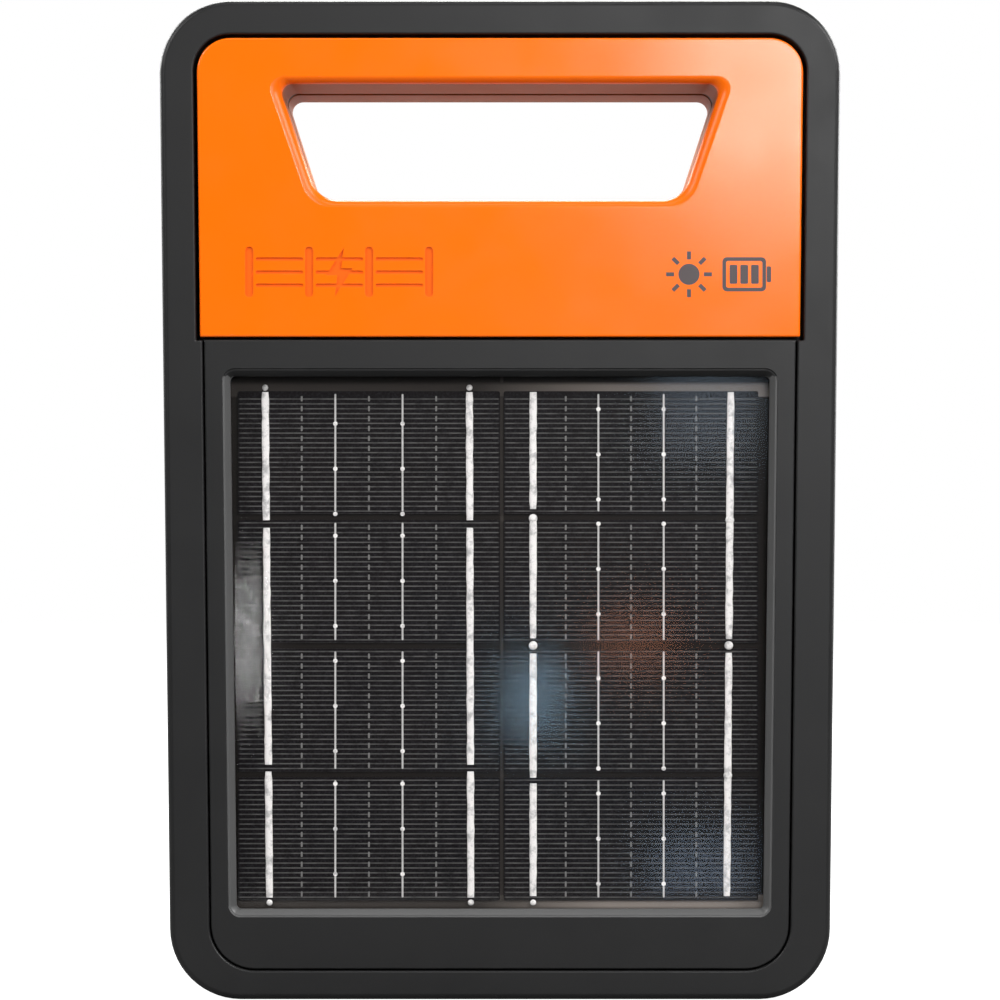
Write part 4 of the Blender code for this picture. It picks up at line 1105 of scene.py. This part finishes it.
def power_button():
    """A rubber cap with a dished top, and a power sign moulded into it in a paler ink."""
    wall = half_width(BUTTON_Z)
    line = (0, back(BUTTON_DEPTH), BUTTON_Z)
    flange = wall - WALL - 2.2
    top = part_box("power_button")[1].x / MM
    radius = 4.6
    cap = [(2.2, 77.3), (2.2, flange - 1.6), (5.5, flange - 1.6), (5.5, flange), (radius, flange + 0.2),
           (radius, top - 0.8)]
    cap += [(radius - 0.8 * (1 - cosine), top - 0.8 * (1 - sine)) for sine, cosine in quarter(6, 1)]
    cap += [(radius - 0.8 - 3.0 * k / 8, top - 0.35 * sine) for k, (sine, _) in enumerate(quarter(8, 1), 1)]
    piece = make("button_cap", [turned(cap, 48, "X", line)], RUBBER, 40)
    stand_for(piece, "black_rubber", "power_button", "power_button")
    face = top - 0.3
    rise = 0.08
    sweeps = [[(x, *point) for point in arc(*line[1:], reach, math.radians(125), math.radians(290), 28)]
              for x, reach in ((face, 1.95), (face + rise, 1.95), (face + rise, 1.5), (face, 1.5))]
    bar = [[(x, line[1] + u, line[2] + v) for u, v in ((-0.24, 0.3), (0.24, 0.3), (0.24, 2.3), (-0.24, 2.3))]
           for x in (face, face + rise)]
    sign = make("button_power_sign", [shell(list(zip(*sweeps))), shell(bar)], PALE_INK)
    stand_for(sign, "black_rubber", "power_button")


def cross_screw(name, node, x, z, seat, head, height, shank, length):
    """A pan head screw with a cross recess and a threaded shank."""
    profile = [(head * 0.02, back(seat + height))]
    for sine, cosine in quarter(8, 1):
        rise = 0.3 * height + 0.7 * height * cosine ** 0.7
        profile.append((head * sine ** 0.8, back(seat + rise)))
    profile += [(head, back(seat)), (shank, back(seat))]
    depth = seat - 0.8
    while depth > seat - length + 1.5:
        profile += [(shank, back(depth)), (shank * 0.8, back(depth - 0.4))]
        depth -= 0.8
    profile += [(shank * 0.6, back(seat - length + 0.5)), (0.1, back(seat - length))]
    piece = make(name, [turned(profile, 28, "Y", (x, 0, z))], STEEL, 40)
    arm, wide = head * 0.55, head * 0.13
    deep = seat + height * 0.35
    tools = [make("cross_tool", [block(x - a, x + a, deep, seat + height + 1, z - b, z + b, 0.05)])
             for a, b in ((arm, wide), (wide, arm))]
    boolean(piece, "DIFFERENCE", *tools)
    settle(piece, *tools)
    finish_shell(piece, 30)
    stand_for(piece, "stainless_steel", "root", node)


def screws():
    for number, (x, z) in enumerate(SCREW_PLACES, 1):
        cross_screw(f"pan_screw_{number}", f"case_screw_{number}", x, z, SCREW_SEAT + GAP, 3.7, 2.4, 1.9, 14.5)
    for number, (x, z) in enumerate(BOARD_SCREW_PLACES, 1):
        cross_screw(f"board_pan_screw_{number}", f"board_screw_{number}", x, z, ON_BOARD, 2.8, 1.7, 1.3, 6.0)


def rear_marks():
    """A spark for the fence terminal and an earth sign for the other, as outlines on the back."""
    x, top = TERMINAL_X, 60.9
    stem = [(x - 4.6, top - 1), (x + 4.6, top - 1), (x + 4.6, top), (x + 0.5, top), (x + 0.5, 66.5), (x - 0.5, 66.5),
            (x - 0.5, top), (x - 4.6, top)]
    bars = [rectangle(x - half, x + half, z - 0.5, z + 0.5, 0.2, 2) for half, z in ((3.0, 58.2), (1.4, 56.0))]
    return {"fence_sign": [bolt(-x, 60.5, 6.0)], "earth_sign": [stem, *bars]}


def rear_signs():
    """Pale inlays in the two pressed marks, a little below the surface."""
    for name, shapes in rear_marks().items():
        print_flat(name, shapes, DEPTH - MARK_DEPTH, MARK_DEPTH - 0.1, PALE_INK, "charcoal_plastic", out=1)


# CAD nodes that stay, with their finishes


def dress(surface, *nodes):
    for node in nodes:
        obj = frame["nodes"][node]
        obj.data.materials.clear()
        obj.data.materials.append(surface)


def dress_nodes():
    columns = [silicon_surface(f"silicon_{side}", *column)
               for side, column in zip(("left", "right"), CELL_COLUMNS)]
    for number in range(1, 9):
        dress(columns[(number - 1) // 4], f"solar_cell_{number}")
    dress(panel_glass_surface(), "panel_glass")
    dress(BACKING, "panel_backing")
    dress(RUBBER, "panel_seal", "case_gasket", "tunnel_gasket", "button_seal", "solar_lead")
    dress(BLACK, "battery_cradle", "power_switch", "bulk_capacitor", "thyristor")
    dress(SLEEVE, "battery_cell_1", "battery_cell_2", "storage_capacitor")
    dress(circuit_board_surface(), "main_board")
    dress(layered("iron_laminations", (0.16, 0.16, 0.17), (0.05, 0.05, 0.05), 0.5, "Y", 0.4, 0.8), "transformer_core")
    dress(layered("winding_tape_yellow", (0.7, 0.42, 0.05), (0.45, 0.25, 0.03), 2.4, "Z"), "transformer_winding")
    dress(layered("coil_wire", (0.5, 0.2, 0.06), (0.2, 0.07, 0.02), 0.8, "Y", 0.3, 0.7), "inverter_coil")
    dress(metal("strap_steel", (0.6, 0.6, 0.58), 0.3, (60.0, 900.0, 900.0)), "battery_strap")
    dress(RED, "fence_lead", "battery_lead")
    dress(GREEN, "earth_lead")
    dress(lens_surface("lens_clear", (0.75, 0.82, 0.8), 0.0), "light_pipe", "switch_plunger")
    dress(lens_surface("lamp_green", (0.1, 0.7, 0.2), 0.6), "status_led")


# Stage


def softbox(name, place, size, energy, aim=(0, 0, 0.17), colour=(1, 1, 1)):
    """A soft light that the camera itself doesn't see."""
    data = bpy.data.lights.new(name, "AREA")
    data.shape = "RECTANGLE"
    data.size, data.size_y = size
    data.energy = energy
    data.color = colour
    obj = new_object(name, data)
    obj.location = place
    obj.rotation_euler = (Vector(aim) - Vector(place)).to_track_quat("-Z", "Y").to_euler()
    obj.visible_camera = False


def floor():
    """A pale sweep whose glow only the camera sees, so that it doesn't light the object from below."""
    mesh = bpy.data.meshes.new("floor")
    half, front, low = 3.0, -0.3, -0.2 * MM
    corners = [(-half, front, low), (half, front, low), (half, half, low), (-half, half, low)]
    mesh.from_pydata(corners, [], [(0, 1, 2, 3)])
    made, tree, surface = begin("pale_floor")
    speck = noise(tree, 30.0)
    seen = add(tree, "ShaderNodeLightPath").outputs["Is Camera Ray"]
    put(surface, Base_Color=colour_mix(tree, speck, (0.2, 0.2, 0.2), (0.23, 0.23, 0.23)), Roughness=0.9,
        Specular_IOR_Level=0.0, Emission_Color=(1, 1, 1), Emission_Strength=times(tree, seen, FLOOR_GLOW))
    mesh.materials.append(made)
    new_object("floor", mesh)


def world():
    made = bpy.data.worlds.new("studio")
    made.use_nodes = True
    tree = made.node_tree
    seen = add(tree, "ShaderNodeLightPath").outputs["Is Camera Ray"]
    put(tree.nodes["Background"], Color=(1, 1, 1), Strength=ranged(tree, seen, 0.0, 1.0, WORLD_LIGHT, 1.0))
    bpy.context.scene.world = made


def camera():
    data = bpy.data.cameras.new("camera")
    data.lens = CAMERA_LENS
    data.sensor_width = 36
    data.clip_end = 20
    obj = new_object("camera", data)
    obj.location = (0, FRONT_Y * MM - 1.0, HEIGHT / 2 * MM)
    obj.rotation_euler = (math.pi / 2, 0, 0)
    bpy.context.scene.camera = obj


def studio():
    camera()
    world()
    floor()
    softbox("highlight", (0.37, LIGHT_Y, 0.60), (0.5, 0.5), HIGHLIGHT_ENERGY, aim=(0.06, -0.04, 0.22))
    softbox("side_left", (-1.2, -0.95, 0.95), (0.7, 0.7), 0.75 * SIDE_ENERGY)
    softbox("side_right", (1.2, -0.9, 1.0), (0.7, 0.7), 1.25 * SIDE_ENERGY)
    softbox("top", (0, -0.5, 1.4), (0.8, 0.5), TOP_ENERGY)
    softbox("rear_left", (-1.3, 0.9, 0.9), (0.9, 0.9), REAR_ENERGY)
    softbox("rear_right", (1.3, 0.9, 0.7), (0.9, 0.9), REAR_ENERGY)
    softbox("rear_top", (-0.2, 1.2, 1.5), (1.0, 0.7), REAR_ENERGY)
    softbox("backdrop", (0, 2.4, 0.5), (3.2, 1.8), BACKDROP_ENERGY)
    for number, (x, z, wide, high, power, colour) in enumerate(GLINTS):
        aim = (x * MIRROR_SHARE, 0, CAMERA_Z + (z - CAMERA_Z) * MIRROR_SHARE)
        softbox(f"glint_{number}", (x, LIGHT_Y, z), (wide, high), power, aim, colour)
    bpy.context.scene.view_settings.view_transform = "Standard"


def main():
    studio()
    front_housing()
    rear_case()
    solar_bezel()
    handle_fascia()
    printed_sign()
    solar_panel()
    for kind, surface, slot in (("fence", RED, "red_plastic"), ("earth", GREEN, "green_plastic")):
        knob(kind, surface, slot)
        stud(kind)
        nut(kind)
        washer(kind)
    power_button()
    screws()
    rear_signs()
    dress_nodes()


main()
